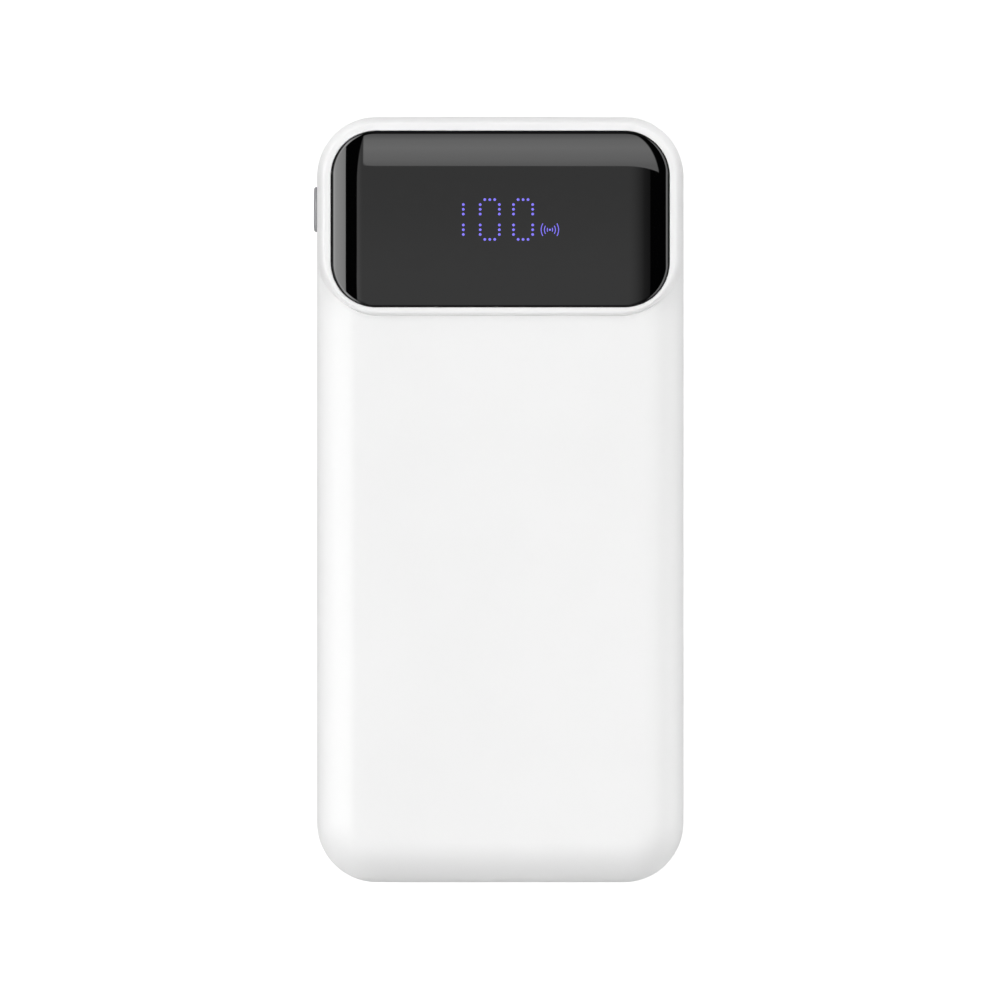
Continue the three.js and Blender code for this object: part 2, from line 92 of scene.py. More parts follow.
# Where the head rises from the face, a fine groove and a cove soften its foot.
COVE_HEIGHT = 0.3
COVE_WIDTH = 1.3
GROOVE_DEPTH = 0.6
GROOVE_WIDTH = 0.32
FOOT_SPREAD = 0.15
CREASE_INSET = 0.95


# ---------------------------------------------------------------- outlines

class Outline:
    """A rounded rectangle whose lower and upper corners may differ."""

    def __init__(self, x0, x1, y0, y1, low, high=None, steps=14, spacing=4.0):
        self.x0, self.x1, self.y0, self.y1 = x0, x1, y0, y1
        self.low = low
        self.high = low if high is None else high
        self.steps = steps
        self.spacing = spacing

    def corners(self):
        """Centre, radius and start angle of each corner, counterclockwise from the lower right."""
        low, high = self.low, self.high
        return [
            (self.x1 - low, self.y0 + low, low, -math.pi / 2),
            (self.x1 - high, self.y1 - high, high, 0.0),
            (self.x0 + high, self.y1 - high, high, math.pi / 2),
            (self.x0 + low, self.y0 + low, low, math.pi),
        ]

    def stations(self):
        """Points of the outline and their outward normals."""
        points, normals = [], []
        corners = self.corners()
        for index, (cx, cy, radius, start) in enumerate(corners):
            for k in range(self.steps + 1):
                angle = start + k * (math.pi / 2) / self.steps
                normal = np.array([math.cos(angle), math.sin(angle)])
                points.append(np.array([cx, cy]) + radius * normal)
                normals.append(normal)
            nx, ny, next_radius, next_start = corners[(index + 1) % 4]
            next_normal = np.array([math.cos(next_start), math.sin(next_start)])
            target = np.array([nx, ny]) + next_radius * next_normal
            gap = np.linalg.norm(target - points[-1])
            pieces = max(1, round(gap / self.spacing))
            here = points[-1]
            for k in range(1, pieces):
                points.append(here + (target - here) * k / pieces)
                normals.append(next_normal)
        return np.array(points), np.array(normals)

    def inset(self, amount):
        """The parallel outline, amount further in."""
        low = max(self.low - amount, 0.02)
        high = max(self.high - amount, 0.02)
        return Outline(
            self.x0 + amount, self.x1 - amount, self.y0 + amount, self.y1 - amount,
            low, high, self.steps, self.spacing,
        )

    def ring(self, inset, z):
        """The outline moved in by inset, at height z. Every ring has the same number of points."""
        points, normals = self.stations()
        flat = points - normals * inset
        return np.column_stack([flat, np.full(len(flat), z)])

    def depth(self, x, y):
        """How far a point is inside the outline. It is negative outside."""
        cx, cy = (self.x0 + self.x1) / 2, (self.y0 + self.y1) / 2
        radius = np.where(y < cy, self.low, self.high)
        px = np.abs(x - cx) - ((self.x1 - self.x0) / 2 - radius)
        py = np.abs(y - cy) - ((self.y1 - self.y0) / 2 - radius)
        outside = np.hypot(np.maximum(px, 0), np.maximum(py, 0))
        return radius - outside - np.minimum(np.maximum(px, py), 0)


BODY = Outline(-HALF_WIDTH, HALF_WIDTH, -HALF_LENGTH, HALF_LENGTH, CORNER, steps=20, spacing=3.0)
HEAD = Outline(-HALF_WIDTH, HALF_WIDTH, HEAD_BOTTOM, HALF_LENGTH, HEAD_CORNER, CORNER, steps=20, spacing=2.0)
WINDOW = Outline(
    WINDOW_LOW[0], WINDOW_HIGH[0], WINDOW_LOW[1], WINDOW_HIGH[1], WINDOW_CORNER, steps=20, spacing=1.5,
).inset(WINDOW_TRIM)


# ---------------------------------------------------------------- meshes

def make_object(name, vertices, faces, material=None, body="housing", slot=None, replaces=(), crease=32):
    mesh = bpy.data.meshes.new(name)
    mesh.from_pydata((np.asarray(vertices) * MM).tolist(), [], [list(map(int, f)) for f in faces])
    mesh.validate()
    obj = bpy.data.objects.new(name, mesh)
    bpy.context.scene.collection.objects.link(obj)
    return dress(obj, material, body, slot, replaces, crease)


def dress(obj, material, body="housing", slot=None, replaces=(), crease=32):
    """Smooths an object, gives it its material and hangs it on its body."""
    mesh = obj.data
    mesh.shade_smooth()
    mesh.set_sharp_from_angle(angle=math.radians(crease))
    if material is not None:
        mesh.materials.clear()
        mesh.materials.append(material)
    if slot is not None:
        weighted = obj.modifiers.new("face_weights", "WEIGHTED_NORMAL")
        weighted.keep_sharp = True
        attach(obj, body)
        if replaces:
            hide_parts(*replaces)
    return obj


def loft(rings):
    """Vertices and faces of a closed solid through rings that run counterclockwise from bottom to top."""
    count = len(rings[0])
    vertices = np.vstack(rings)
    faces = [list(range(count))[::-1]]
    for level in range(len(rings) - 1):
        base = level * count
        for k in range(count):
            n = (k + 1) % count
            faces.append([base + k, base + n, base + count + n, base + count + k])
    faces.append([(len(rings) - 1) * count + k for k in range(count)])
    return vertices, faces


def band(rings):
    """Vertices and faces of a closed ring whose section runs through the given outlines and back."""
    count = len(rings[0])
    faces = []
    for level in range(len(rings)):
        following = (level + 1) % len(rings)
        for k in range(count):
            n = (k + 1) % count
            faces.append([level * count + k, level * count + n, following * count + n, following * count + k])
    return np.vstack(rings), faces


def box(x0, x1, y0, y1, z0, z1, soft=0.0):
    """A block, with soft edges on top if asked."""
    outline = Outline(x0, x1, y0, y1, max(soft, 0.01), steps=2, spacing=99.0)
    rings = [outline.ring(0, z0), outline.ring(0, z1 - soft)]
    if soft:
        rings.append(outline.ring(soft, z1))
    return loft(rings)


def turned(profile, x=0.0, y=0.0, z=0.0, sides=32):
    """A solid of revolution about Z, from a profile of radius and height that starts at the bottom."""
    angles = [2 * math.pi * k / sides for k in range(sides)]
    around = np.array([[math.cos(a), math.sin(a)] for a in angles])
    rings = []
    for radius, height in profile:
        rings.append(np.column_stack([around * radius + [x, y], np.full(sides, z + height)]))
    return loft(rings)


def strip(points, width, thickness):
    """A flat strip across X that follows points in Y and Z."""
    points = np.asarray(points, float)
    along = np.gradient(points, axis=0)
    along /= np.linalg.norm(along, axis=1)[:, None]
    up = np.column_stack([-along[:, 1], along[:, 0]]) * thickness / 2
    rings = []
    for (y, z), (uy, uz) in zip(points, up):
        rings.append(np.array([
            (-width / 2, y - uy, z - uz), (-width / 2, y + uy, z + uz),
            (width / 2, y + uy, z + uz), (width / 2, y - uy, z - uz),
        ]))
    return loft(rings)


def moved(part, x=0.0, y=0.0, z=0.0):
    vertices, faces = part
    return np.asarray(vertices) + [x, y, z], faces


def merge(parts):
    """Several (vertices, faces) pairs as one."""
    vertices, faces, base = [], [], 0
    for part_vertices, part_faces in parts:
        vertices.append(np.asarray(part_vertices, float))
        faces.extend([[base + i for i in face] for face in part_faces])
        base += len(part_vertices)
    return np.vstack(vertices), faces


def arc(start, end, steps):
    """Angles from start to end in degrees, as radians."""
    return [math.radians(a) for a in np.linspace(start, end, steps + 1)]


def combine(target, tool, operation):
    """Joins or cuts target with tool, and removes tool."""
    modifier = target.modifiers.new("combine", "BOOLEAN")
    modifier.operation = operation
    modifier.solver = "MANIFOLD"
    modifier.object = tool
    graph = bpy.context.evaluated_depsgraph_get()
    made = bpy.data.meshes.new_from_object(target.evaluated_get(graph))
    target.modifiers.clear()
    old = target.data
    target.data = made
    bpy.data.meshes.remove(old)
    bpy.data.objects.remove(tool)
    if len(made.polygons) == 0:
        raise RuntimeError(f"{operation} on {target.name} left nothing")


def cut(target, part):
    combine(target, make_object("tool", *part), "DIFFERENCE")


def join(target, part):
    combine(target, make_object("tool", *part), "UNION")


def turn_to_y(part, x, z):
    """Moves a solid drawn in X and Y, rising along Z, to one drawn in X and Z that runs along Y."""
    vertices, faces = part
    v = np.asarray(vertices)
    turned = np.column_stack([v[:, 0] + x, v[:, 2], v[:, 1] + z])
    return turned, [face[::-1] for face in faces]


def turn_to_x(part, y, z):
    """Moves a solid drawn in X and Y, rising along Z, to one drawn in Y and Z that runs along X."""
    vertices, faces = part
    v = np.asarray(vertices)
    return np.column_stack([v[:, 2], v[:, 0] + y, v[:, 1] + z]), faces


def slab(outline, z0, z1):
    return loft([outline.ring(0, z0), outline.ring(0, z1)])


def rounded(outline, radius, z, steps, top=True, flare=False, start=90):
    """Rings of a rounded edge that ends at height z, at the top or the foot of a solid."""
    side = -radius if flare else radius
    rise = -radius if top else radius
    angles = arc(0, 90, steps) if top else arc(start, 0, steps)
    return [outline.ring(side * (1 - math.cos(a)), z + rise * (1 - math.sin(a))) for a in angles]


# ---------------------------------------------------------------- materials

def map_range(tree, source, start, end, low, high):
    """A node that takes start to low and end to high, and holds those values beyond."""
    node = tree.nodes.new("ShaderNodeMapRange")
    for socket, value in (("From Min", start), ("From Max", end), ("To Min", low), ("To Max", high)):
        node.inputs[socket].default_value = value
    tree.links.new(source, node.inputs["Value"])
    return node


class Nodes:
    """A material's node tree, with short calls for the nodes used here."""

    def __init__(self, name):
        self.material = bpy.data.materials.new(name)
        self.material.use_nodes = True
        self.tree = self.material.node_tree
        self.shader = self.tree.nodes["Principled BSDF"]
        self.place = self.tree.nodes.new("ShaderNodeTexCoord").outputs["Object"]

    def set(self, **values):
        for name, value in values.items():
            self.shader.inputs[name.replace("_", " ")].default_value = value

    def noise(self, scale, detail=3.0, roughness=0.5, stretch=None):
        node = self.tree.nodes.new("ShaderNodeTexNoise")
        node.inputs["Scale"].default_value = scale
        node.inputs["Detail"].default_value = detail
        node.inputs["Roughness"].default_value = roughness
        source = self.place
        if stretch is not None:
            mapping = self.tree.nodes.new("ShaderNodeMapping")
            mapping.inputs["Scale"].default_value = stretch
            self.tree.links.new(source, mapping.inputs["Vector"])
            source = mapping.outputs["Vector"]
        self.tree.links.new(source, node.inputs["Vector"])
        return node.outputs["Fac"]

    def ramp(self, source, stops):
        node = self.tree.nodes.new("ShaderNodeValToRGB")
        elements = node.color_ramp.elements
        while len(elements) < len(stops):
            elements.new(0.5)
        for element, (position, colour) in zip(elements, stops):
            element.position = position
            element.color = (*colour, 1.0)
        self.tree.links.new(source, node.inputs["Fac"])
        return node.outputs["Color"]

    def range(self, source, low, high):
        return map_range(self.tree, source, 0.3, 0.7, low, high).outputs["Result"]

    def bump(self, source, strength, distance):
        node = self.tree.nodes.new("ShaderNodeBump")
        node.inputs["Strength"].default_value = strength
        node.inputs["Distance"].default_value = distance
        self.tree.links.new(source, node.inputs["Height"])
        self.tree.links.new(node.outputs["Normal"], self.shader.inputs["Normal"])

    def feed(self, source, socket):
        self.tree.links.new(source, self.shader.inputs[socket])


def shaded(colour, share):
    return tuple(min(1.0, c * share) for c in colour)


def moulded_plastic(name, colour, rough, grain=9000.0, depth=0.00001, spread=0.04, specular=0.5):
    """Moulded plastic: a slight drift of tone, uneven polish and a fine grain."""
    made = Nodes(name)
    drift = made.noise(35.0, 2.0)
    tones = [(0.35, shaded(colour, 1 - spread)), (0.65, shaded(colour, 1 + spread / 3))]
    made.feed(made.ramp(drift, tones), "Base Color")
    made.feed(made.range(made.noise(220.0, 4.0), rough - 0.05, rough + 0.05), "Roughness")
    made.bump(made.noise(grain, 2.0), 0.25, depth)
    made.set(IOR=1.49, Specular_IOR_Level=specular)
    return made.material


def metal(name, colour, rough, brushed=(1.0, 1.0, 1.0), scale=900.0):
    """Plated or rolled metal with fine lines along one way."""
    made = Nodes(name)
    lines = made.noise(scale, 3.0, 0.6, brushed)
    made.feed(made.ramp(lines, [(0.3, shaded(colour, 0.86)), (0.7, colour)]), "Base Color")
    made.feed(made.range(lines, rough - 0.07, rough + 0.08), "Roughness")
    made.bump(lines, 0.12, 0.00001)
    made.set(Metallic=1.0)
    return made.material


def polished_black(name):
    """Black acrylic behind a hard polished face."""
    made = Nodes(name)
    haze = made.noise(60.0, 2.0)
    tones = [(0.3, (0.0006, 0.0006, 0.0007)), (0.7, (0.0010, 0.0010, 0.0011))]
    made.feed(made.ramp(haze, tones), "Base Color")
    made.feed(made.range(made.noise(400.0, 3.0), 0.012, 0.03), "Roughness")
    made.set(IOR=1.5)
    return made.material


def display_glow(name, colour, strength):
    """A lit dot: a dark tinted lens that sends out its own light."""
    made = Nodes(name)
    grain = made.noise(4000.0, 1.0)
    tones = [(0.3, shaded(colour, 0.10)), (0.7, shaded(colour, 0.14))]
    made.feed(made.ramp(grain, tones), "Base Color")
    made.set(Roughness=0.4)
    made.shader.inputs["Emission Color"].default_value = (*colour, 1.0)
    made.shader.inputs["Emission Strength"].default_value = strength
    return made.material


def circuit_board(name):
    """Green solder mask over faint copper tracks."""
    made = Nodes(name)
    cells = made.tree.nodes.new("ShaderNodeTexVoronoi")
    cells.feature = "DISTANCE_TO_EDGE"
    cells.inputs["Scale"].default_value = 320.0
    made.tree.links.new(made.place, cells.inputs["Vector"])
    tracks = cells.outputs["Distance"]
    made.feed(made.ramp(tracks, [(0.05, (0.03, 0.16, 0.06)), (0.09, (0.012, 0.075, 0.03))]), "Base Color")
    made.feed(made.range(made.noise(300.0, 3.0), 0.28, 0.42), "Roughness")
    made.bump(tracks, 0.2, 0.00003)
    return made.material


WHITE = moulded_plastic("white_abs", (0.864, 0.864, 0.864), 0.46, spread=0.012, specular=0.5)
# The button's grey is painted shade: a darker colour that stands in for the shade on its edge, where it shows
# as a thin dark line beside the body.
BUTTON_PAINTED_SHADE = moulded_plastic("grey_button", (0.26, 0.262, 0.27), 0.36, spread=0.03)
BLACK_WINDOW = polished_black("smoked_acrylic")
GLOW = display_glow("display_light", (0.195, 0.155, 0.90), 1.0)
RUBBER = moulded_plastic("black_gasket", (0.004, 0.004, 0.004), 0.8, 2500.0, spread=0.3, specular=0.2)
BLACK_PLASTIC = moulded_plastic("black_nylon", (0.012, 0.012, 0.013), 0.5, grain=3000.0, spread=0.2)
WHITE_PLASTIC = moulded_plastic("white_nylon", (0.74, 0.74, 0.71), 0.45, grain=3000.0)
STEEL = metal("nickel_plated_steel", (0.62, 0.63, 0.65), 0.28, (1.0, 0.08, 1.0))
GOLD = metal("gold_plate", (0.86, 0.62, 0.24), 0.25)
COPPER = metal("enamelled_copper", (0.62, 0.27, 0.11), 0.3, (1.0, 1.0, 1.0), 700.0)
POUCH = metal("laminate_pouch", (0.62, 0.63, 0.65), 0.34, (1.0, 0.6, 1.0), 120.0)
SOLDER = metal("tin_solder", (0.7, 0.7, 0.72), 0.35, (1.0, 1.0, 1.0), 2500.0)
BOARD_GREEN = circuit_board("green_solder_mask")
FERRITE = moulded_plastic("sintered_ferrite", (0.028, 0.028, 0.031), 0.55, grain=5000.0, spread=0.3)
TAPE = moulded_plastic("polyimide_tape", (0.55, 0.31, 0.05), 0.3, grain=900.0, spread=0.12)
FOAM = moulded_plastic("closed_cell_foam", (0.02, 0.02, 0.021), 0.9, 1800.0, 0.0001, spread=0.4, specular=0.1)
RED_WIRE = moulded_plastic("red_silicone", (0.42, 0.012, 0.012), 0.5, grain=2500.0, spread=0.1)
BLACK_WIRE = moulded_plastic("black_silicone", (0.01, 0.01, 0.01), 0.5, grain=2500.0, spread=0.2)
FILM = moulded_plastic("printed_film", (0.01, 0.01, 0.012), 0.3, grain=6000.0, spread=0.2)
NICKEL = metal("nickel_strip", (0.66, 0.63, 0.57), 0.33, (0.1, 1.0, 1.0))


# ---------------------------------------------------------------- front shell

def body_height(x, y):
    """Height of the front face and its round edge."""
    inside = np.clip(BODY.depth(x, y), 0, FRONT_EDGE)
    edge = SPRING_Z + np.sqrt(np.maximum(FRONT_EDGE ** 2 - (FRONT_EDGE - inside) ** 2, 0))
    away = np.maximum(CREASE_INSET - HEAD.depth(x, y), 0)
    cove = COVE_HEIGHT * np.maximum(1 - away / COVE_WIDTH, 0) ** 2
    groove = GROOVE_DEPTH * np.maximum(1 - (away / GROOVE_WIDTH) ** 2, 0)
    return edge + (cove - groove) * (inside / FRONT_EDGE) ** 2


def head_height(x, y):
    """Height of the raised head, whose side is a tall quarter ellipse."""
    depth = HEAD.depth(x, y)
    spread = FOOT_SPREAD * np.clip(BODY.depth(x, y) / FRONT_EDGE, 0, 1) ** 2
    share = np.clip((depth + spread) / HEAD_INSET, 0, 1)
    rise = (HEAD_TOP - SPRING_Z) * np.sqrt(np.maximum(1 - (1 - share) ** 2, 0))
    return np.where(depth >= -1e-9, SPRING_Z + rise, -1e3)


def front_height(x, y):
    return np.maximum(body_height(x, y), head_height(x, y))


def shared_outline():
    """The body's outline above the head's lower corners, and the two ways to close it below."""
    join_y = HEAD_BOTTOM + HEAD_CORNER
    points, normals = BODY.stations()
    order = np.argsort(np.arctan2(points[:, 1], points[:, 0]) % (2 * math.pi))
    points, normals = points[order], normals[order]
    upper = points[:, 1] > join_y + 0.5
    first = int(np.argmax(upper))
    last = len(upper) - 1 - int(np.argmax(upper[::-1]))
    right = (np.array([[HALF_WIDTH, join_y]]), np.array([[1.0, 0.0]]))
    left = (np.array([[-HALF_WIDTH, join_y]]), np.array([[-1.0, 0.0]]))
    top = (
        np.vstack([right[0], points[first:last + 1], left[0]]),
        np.vstack([right[1], normals[first:last + 1], left[1]]),
    )
    below = points[:, 1] < join_y - 0.5
    rolled = np.roll(np.arange(len(points)), -(last + 1))
    lower_index = [i for i in rolled if below[i]]
    body_low = (points[lower_index], normals[lower_index])
    head_points, head_normals = HEAD.stations()
    low_head = head_points[:, 1] < join_y - 1e-6
    angle = np.arctan2(head_points[:, 1] - join_y, head_points[:, 0])
    chosen = np.where(low_head)[0]
    chosen = chosen[np.argsort(angle[chosen] % (2 * math.pi))]
    head_low = (head_points[chosen], head_normals[chosen])
    return top, body_low, head_low


def crease_insets(points, normals):
    """How far in from the head's foot outline its side meets the body, at each point."""
    low = np.zeros(len(points))
    high = np.full(len(points), HEAD_INSET)
    for _ in range(50):
        middle = (low + high) / 2
        at = points - normals * middle[:, None]
        over = head_height(at[:, 0], at[:, 1]) >= body_height(at[:, 0], at[:, 1])
        high = np.where(over, middle, high)
        low = np.where(over, low, middle)
    return high


# Distances outside the crease at which lines of the sheet follow it, and margins that keep lines apart.
CREASE_LINES = (0.06, 0.14, 0.26, 0.42, 0.62, 0.86, 1.15, 1.5)
OUTLINE_MARGIN = 0.04
HEAD_MARGIN = 0.5
HEIGHT_MARGIN = 0.25
HEAD_REACH = 10.5
NEAR_NOTHING = 1e-4


def front_sheet():
    """The shell's outer face as triangles whose edges follow its outline, its round edge and the crease."""
    top, body_low, head_low = shared_outline()
    points, edges = [], []

    def add_line(line, closed=False, keep=None):
        """Adds the kept points of a line, and the edges between neighbours that are both kept."""
        base = len(points)
        kept = [True] * len(line) if keep is None else list(keep)
        index = {}
        for k, p in enumerate(line):
            if kept[k]:
                index[k] = base + len(index)
                points.append(p)
        last = len(line) if closed else len(line) - 1
        for k in range(last):
            n = (k + 1) % len(line)
            if k in index and n in index:
                edges.append((index[k], index[n]))

    outline = np.vstack([top[0], body_low[0]])
    add_line(outline, closed=True)

    foot = np.vstack([top[0], head_low[0]])
    foot_normals = np.vstack([top[1], head_low[1]])
    crease = crease_insets(foot, foot_normals)
    crease[:len(top[0])] = 0.0
    shares = [1 - math.sin(a) for a in arc(90, 0, 14)]
    for share in shares:
        inset = crease + (HEAD_INSET - crease) * share
        line = foot - foot_normals * inset[:, None]
        if share == 0.0:
            add_line(line[len(top[0]):], keep=crease[len(top[0]):] > 0.01)
        else:
            add_line(line, closed=True)

    # Lines outside the crease follow it across the cove.
    low_foot, low_normals, low_crease = head_low[0], head_low[1], crease[len(top[0]):]
    for away in CREASE_LINES:
        line = low_foot - low_normals * (low_crease - away)[:, None]
        inside = BODY.depth(line[:, 0], line[:, 1])
        over = body_height(line[:, 0], line[:, 1]) > head_height(line[:, 0], line[:, 1])
        add_line(line, keep=(inside > OUTLINE_MARGIN) & over & (low_crease > 0.02))

    # The round edge of the body, outside the head.
    whole = np.vstack([top[0], body_low[0]])
    whole_normals = np.vstack([top[1], body_low[1]])
    for angle in arc(90, 0, 18)[1:]:
        inset = FRONT_EDGE * (1 - math.sin(angle))
        line = whole - whole_normals * inset
        apart = body_height(line[:, 0], line[:, 1]) - head_height(line[:, 0], line[:, 1])
        clear = CREASE_INSET - HEAD.depth(line[:, 0], line[:, 1]) > HEAD_MARGIN
        add_line(line, keep=clear & (apart > HEIGHT_MARGIN) & (line[:, 1] < HEAD_BOTTOM + HEAD_REACH))

    result = delaunay_2d_cdt([tuple(p) for p in points], edges, [], 0, 1e-5)
    flat = np.array([list(p) for p in result[0]])
    faces = [list(face) for face in result[2]]
    heights = front_height(flat[:, 0], flat[:, 1])
    heights = np.where(BODY.depth(flat[:, 0], flat[:, 1]) < NEAR_NOTHING, SPRING_Z, heights)
    return np.column_stack([flat, heights]), faces


def boundary_loop(faces):
    """The outer edge of a sheet of triangles, in order."""
    directed = {(face[k], face[(k + 1) % len(face)]) for face in faces for k in range(len(face))}
    following = {a: b for a, b in directed if (b, a) not in directed}
    start = next(iter(following))
    loop = [start]
    while following[loop[-1]] != start:
        loop.append(following[loop[-1]])
    return loop


def front_blank():
    """The shell's outside as a solid, closed by its outer wall and a flat foot."""
    sheet, faces = front_sheet()
    loop = boundary_loop(faces)
    rim = sheet[loop]
    centre = np.array([
        np.clip(rim[:, 0], -HALF_WIDTH + CORNER, HALF_WIDTH - CORNER),
        np.clip(rim[:, 1], -HALF_LENGTH + CORNER, HALF_LENGTH - CORNER),
    ]).T
    outward = rim[:, :2] - centre
    outward /= np.linalg.norm(outward, axis=1)[:, None]
    levels = [(0.0, SPRING_Z - 0.2)]
    levels += [
        (SOFT_SEAM * (1 - math.cos(a)), FRONT_FOOT + SOFT_SEAM * (1 - math.sin(a)))
        for a in arc(0, 90, 4)
    ]
    vertices = [sheet]
    count = len(loop)
    previous = loop
    base = len(sheet)
    for inset, z in levels:
        ring = np.column_stack([rim[:, :2] - outward * inset, np.full(count, z)])
        vertices.append(ring)
        current = list(range(base, base + count))
        for k in range(count):
            n = (k + 1) % count
            faces.append([previous[n], previous[k], current[k], current[n]])
        previous = current
        base += count
    faces.append(previous[::-1])
    return np.vstack(vertices), faces


BUTTON_LOW, BUTTON_HIGH = box_mm("power_button")
BUTTON_Y = (BUTTON_LOW[1] + BUTTON_HIGH[1]) / 2
BUTTON_HALF_LENGTH = 4.2
BUTTON_HALF_HEIGHT = 1.6
BUTTON_GAP = 0.2
SOFT_HOLE = 0.22
HOLE_DEPTH = 4.0
CUT_DEPTH = 5.0
MOUTH_GAP = 0.2

SOCKET_NODES = {
    "usb_a_left_shell": 0.6,
    "usb_a_right_shell": 0.6,
    "usb_c_shell": 1.6,
    "micro_usb_shell": 0.7,
}


def stadium(half_x, half_y, steps, spacing):
    """An outline whose short ends are as good as half circles."""
    return Outline(-half_x, half_x, -half_y, half_y, half_y - 0.01, steps=steps, spacing=spacing)


def wall_cutters():
    """The mouths in the side wall, each with a soft lip on the outside."""
    parts = []
    for node, corner in SOCKET_NODES.items():
        low, high = box_mm(node)
        half_x, _, half_z = (high - low) / 2 + MOUTH_GAP
        outline = Outline(-half_x, half_x, -half_z, half_z, corner + MOUTH_GAP, steps=6, spacing=20.0)
        rings = [outline.ring(0, HALF_LENGTH - CUT_DEPTH)]
        rings += rounded(outline, SOFT_MOUTH, HALF_LENGTH, 4, flare=True)
        rings.append(outline.ring(-SOFT_MOUTH, HALF_LENGTH + PAST))
        x, _, z = (low + high) / 2
        parts.append(turn_to_y(loft(rings), x, z))
    hole = stadium(BUTTON_HALF_LENGTH + BUTTON_GAP, BUTTON_HALF_HEIGHT + BUTTON_GAP, steps=10, spacing=1.0)
    rings = [hole.ring(-SOFT_HOLE, -HALF_WIDTH - PAST)]
    rings += rounded(hole, SOFT_HOLE, -HALF_WIDTH, 4, top=False, flare=True)
    rings.append(hole.ring(0, -HALF_WIDTH + HOLE_DEPTH))
    parts.append(turn_to_x(loft(rings), BUTTON_Y, SEAM_Z))
    return parts


def cavity(inset, z_open, z_end, edge, up=True):
    """The inside of a shell, from its open side to its rounded floor."""
    outline = BODY.inset(inset)
    mouth = [outline.ring(0, z_open)]
    floor = rounded(outline, edge, z_end, 8, top=up)
    return loft(mouth + floor if up else floor + mouth)


def make_front_shell():
    shell = make_object("front_shell_skin", *front_blank())
    below = FRONT_FOOT - PAST
    cut(shell, cavity(WALL, below, FACE_Z - WALL, FRONT_EDGE - WALL))
    cut(shell, slab(HEAD.inset(WALL + 0.2), below, HEAD_CAVITY_Z))
    cut(shell, slab(BODY.inset(WALL - LIP - LIP_GAP), below, FRONT_FOOT + LIP_HEIGHT))
    join(shell, slab(HEAD.inset(WALL), HEAD_CAVITY_Z, LEDGE_Z))
    seat = WINDOW.inset(-WINDOW_GAP)
    rings = [seat.ring(0, LEDGE_Z)] + rounded(seat, SOFT_RIM, HEAD_TOP, 5, flare=True)
    rings.append(seat.ring(-SOFT_RIM, HEAD_TOP + PAST))
    cut(shell, loft(rings))
    cut(shell, slab(WINDOW.inset(LEDGE_WIDTH), HEAD_CAVITY_Z - PAST, HEAD_TOP + PAST))
    for part in wall_cutters():
        cut(shell, part)
    return dress(shell, WHITE, slot="white_shell", replaces=["front_shell"])


# ---------------------------------------------------------------- back shell

POST_RADIUS = 2.3
POST_FOOT = WALL - 0.3
BORE_RADIUS = 1.0
BORE_FLOOR = 0.9
BOARD_CLEARANCE = 0.05


def make_back_shell():
    rings = rounded(BODY, BACK_EDGE, 0, 18, top=False) + rounded(BODY, SOFT_SEAM, BACK_RIM, 4)
    shell = make_object("back_shell_skin", *loft(rings))
    lip_top = BACK_RIM + LIP_HEIGHT
    join(shell, slab(BODY.inset(WALL - LIP), BACK_RIM - PAST, lip_top))
    cut(shell, cavity(WALL, lip_top + PAST, WALL, BACK_EDGE - WALL, up=False))
    for index in range(1, 5):
        low, high = box_mm(f"board_screw_{index}")
        x, y, _ = (low + high) / 2
        post = stadium(POST_RADIUS, POST_RADIUS, steps=8, spacing=9)
        bore = stadium(BORE_RADIUS, BORE_RADIUS, steps=6, spacing=9)
        join(shell, moved(slab(post, POST_FOOT, BOARD_LOW[2] - BOARD_CLEARANCE), x, y))
        cut(shell, moved(slab(bore, BORE_FLOOR, BOARD_LOW[2] + PAST), x, y))
    for part in wall_cutters():
        cut(shell, part)
    return dress(shell, WHITE, slot="white_shell", replaces=["back_shell"])


# ---------------------------------------------------------------- window

WINDOW_EDGE_X = 8.5
WINDOW_EDGE_TOP = 10.0
WINDOW_EDGE_LOW = 7.0
WINDOW_DROP = 0.7
WINDOW_ROUND = 0.1
BEAD_TOP = 15.6
BEAD_SLACK = 0.02
BEAD_SOFT = 0.05
GASKET_SHORT = 0.2


def window_height(x, y):
    """Height of the window: flat in the middle, and curving down towards each side."""
    drops = [
        (WINDOW_LOW[0], x, 1, WINDOW_EDGE_X),
        (WINDOW_HIGH[0], x, -1, WINDOW_EDGE_X),
        (WINDOW_LOW[1], y, 1, WINDOW_EDGE_LOW),
        (WINDOW_HIGH[1], y, -1, WINDOW_EDGE_TOP),
    ]
    height = np.full(np.shape(x), WINDOW_HIGH[2])
    for edge, value, sign, width in drops:
        depth = np.clip((value - edge) * sign, 0, width)
        height = height - WINDOW_DROP * (1 - depth / width) ** 3
    return height


def glass_ring(inset):
    """The window's outline moved in by inset. Past the corner radius it shrinks as a plain frame."""
    points, normals = WINDOW.stations()
    kept = min(inset, WINDOW.low - 0.05)
    moved = points - normals * kept
    centre = np.array([0.0, (WINDOW_LOW[1] + WINDOW_HIGH[1]) / 2])
    half = np.array([WINDOW_HIGH[0], (WINDOW_HIGH[1] - WINDOW_LOW[1]) / 2])
    flat = centre + (moved - centre) * (half - inset) / (half - kept)
    return np.column_stack([flat, window_height(flat[:, 0], flat[:, 1])])


def make_window():
    insets = [WINDOW_ROUND * (1 - math.sin(a)) for a in arc(90, 0, 6)][::-1]
    insets += list(np.linspace(WINDOW_ROUND, WINDOW_EDGE_TOP, 52)[1:])
    insets += [WINDOW_EDGE_TOP + 2]
    foot = glass_ring(0)
    foot[:, 2] = WINDOW_LOW[2]
    rings = [foot]
    for inset in insets:
        ring = glass_ring(inset)
        short = max(WINDOW_ROUND - inset, 0)
        ring[:, 2] -= WINDOW_ROUND - math.sqrt(WINDOW_ROUND ** 2 - short ** 2)
        rings.append(ring)
    make_object("window_glass", *loft(rings), BLACK_WINDOW, slot="black_window", replaces=["display_window"])


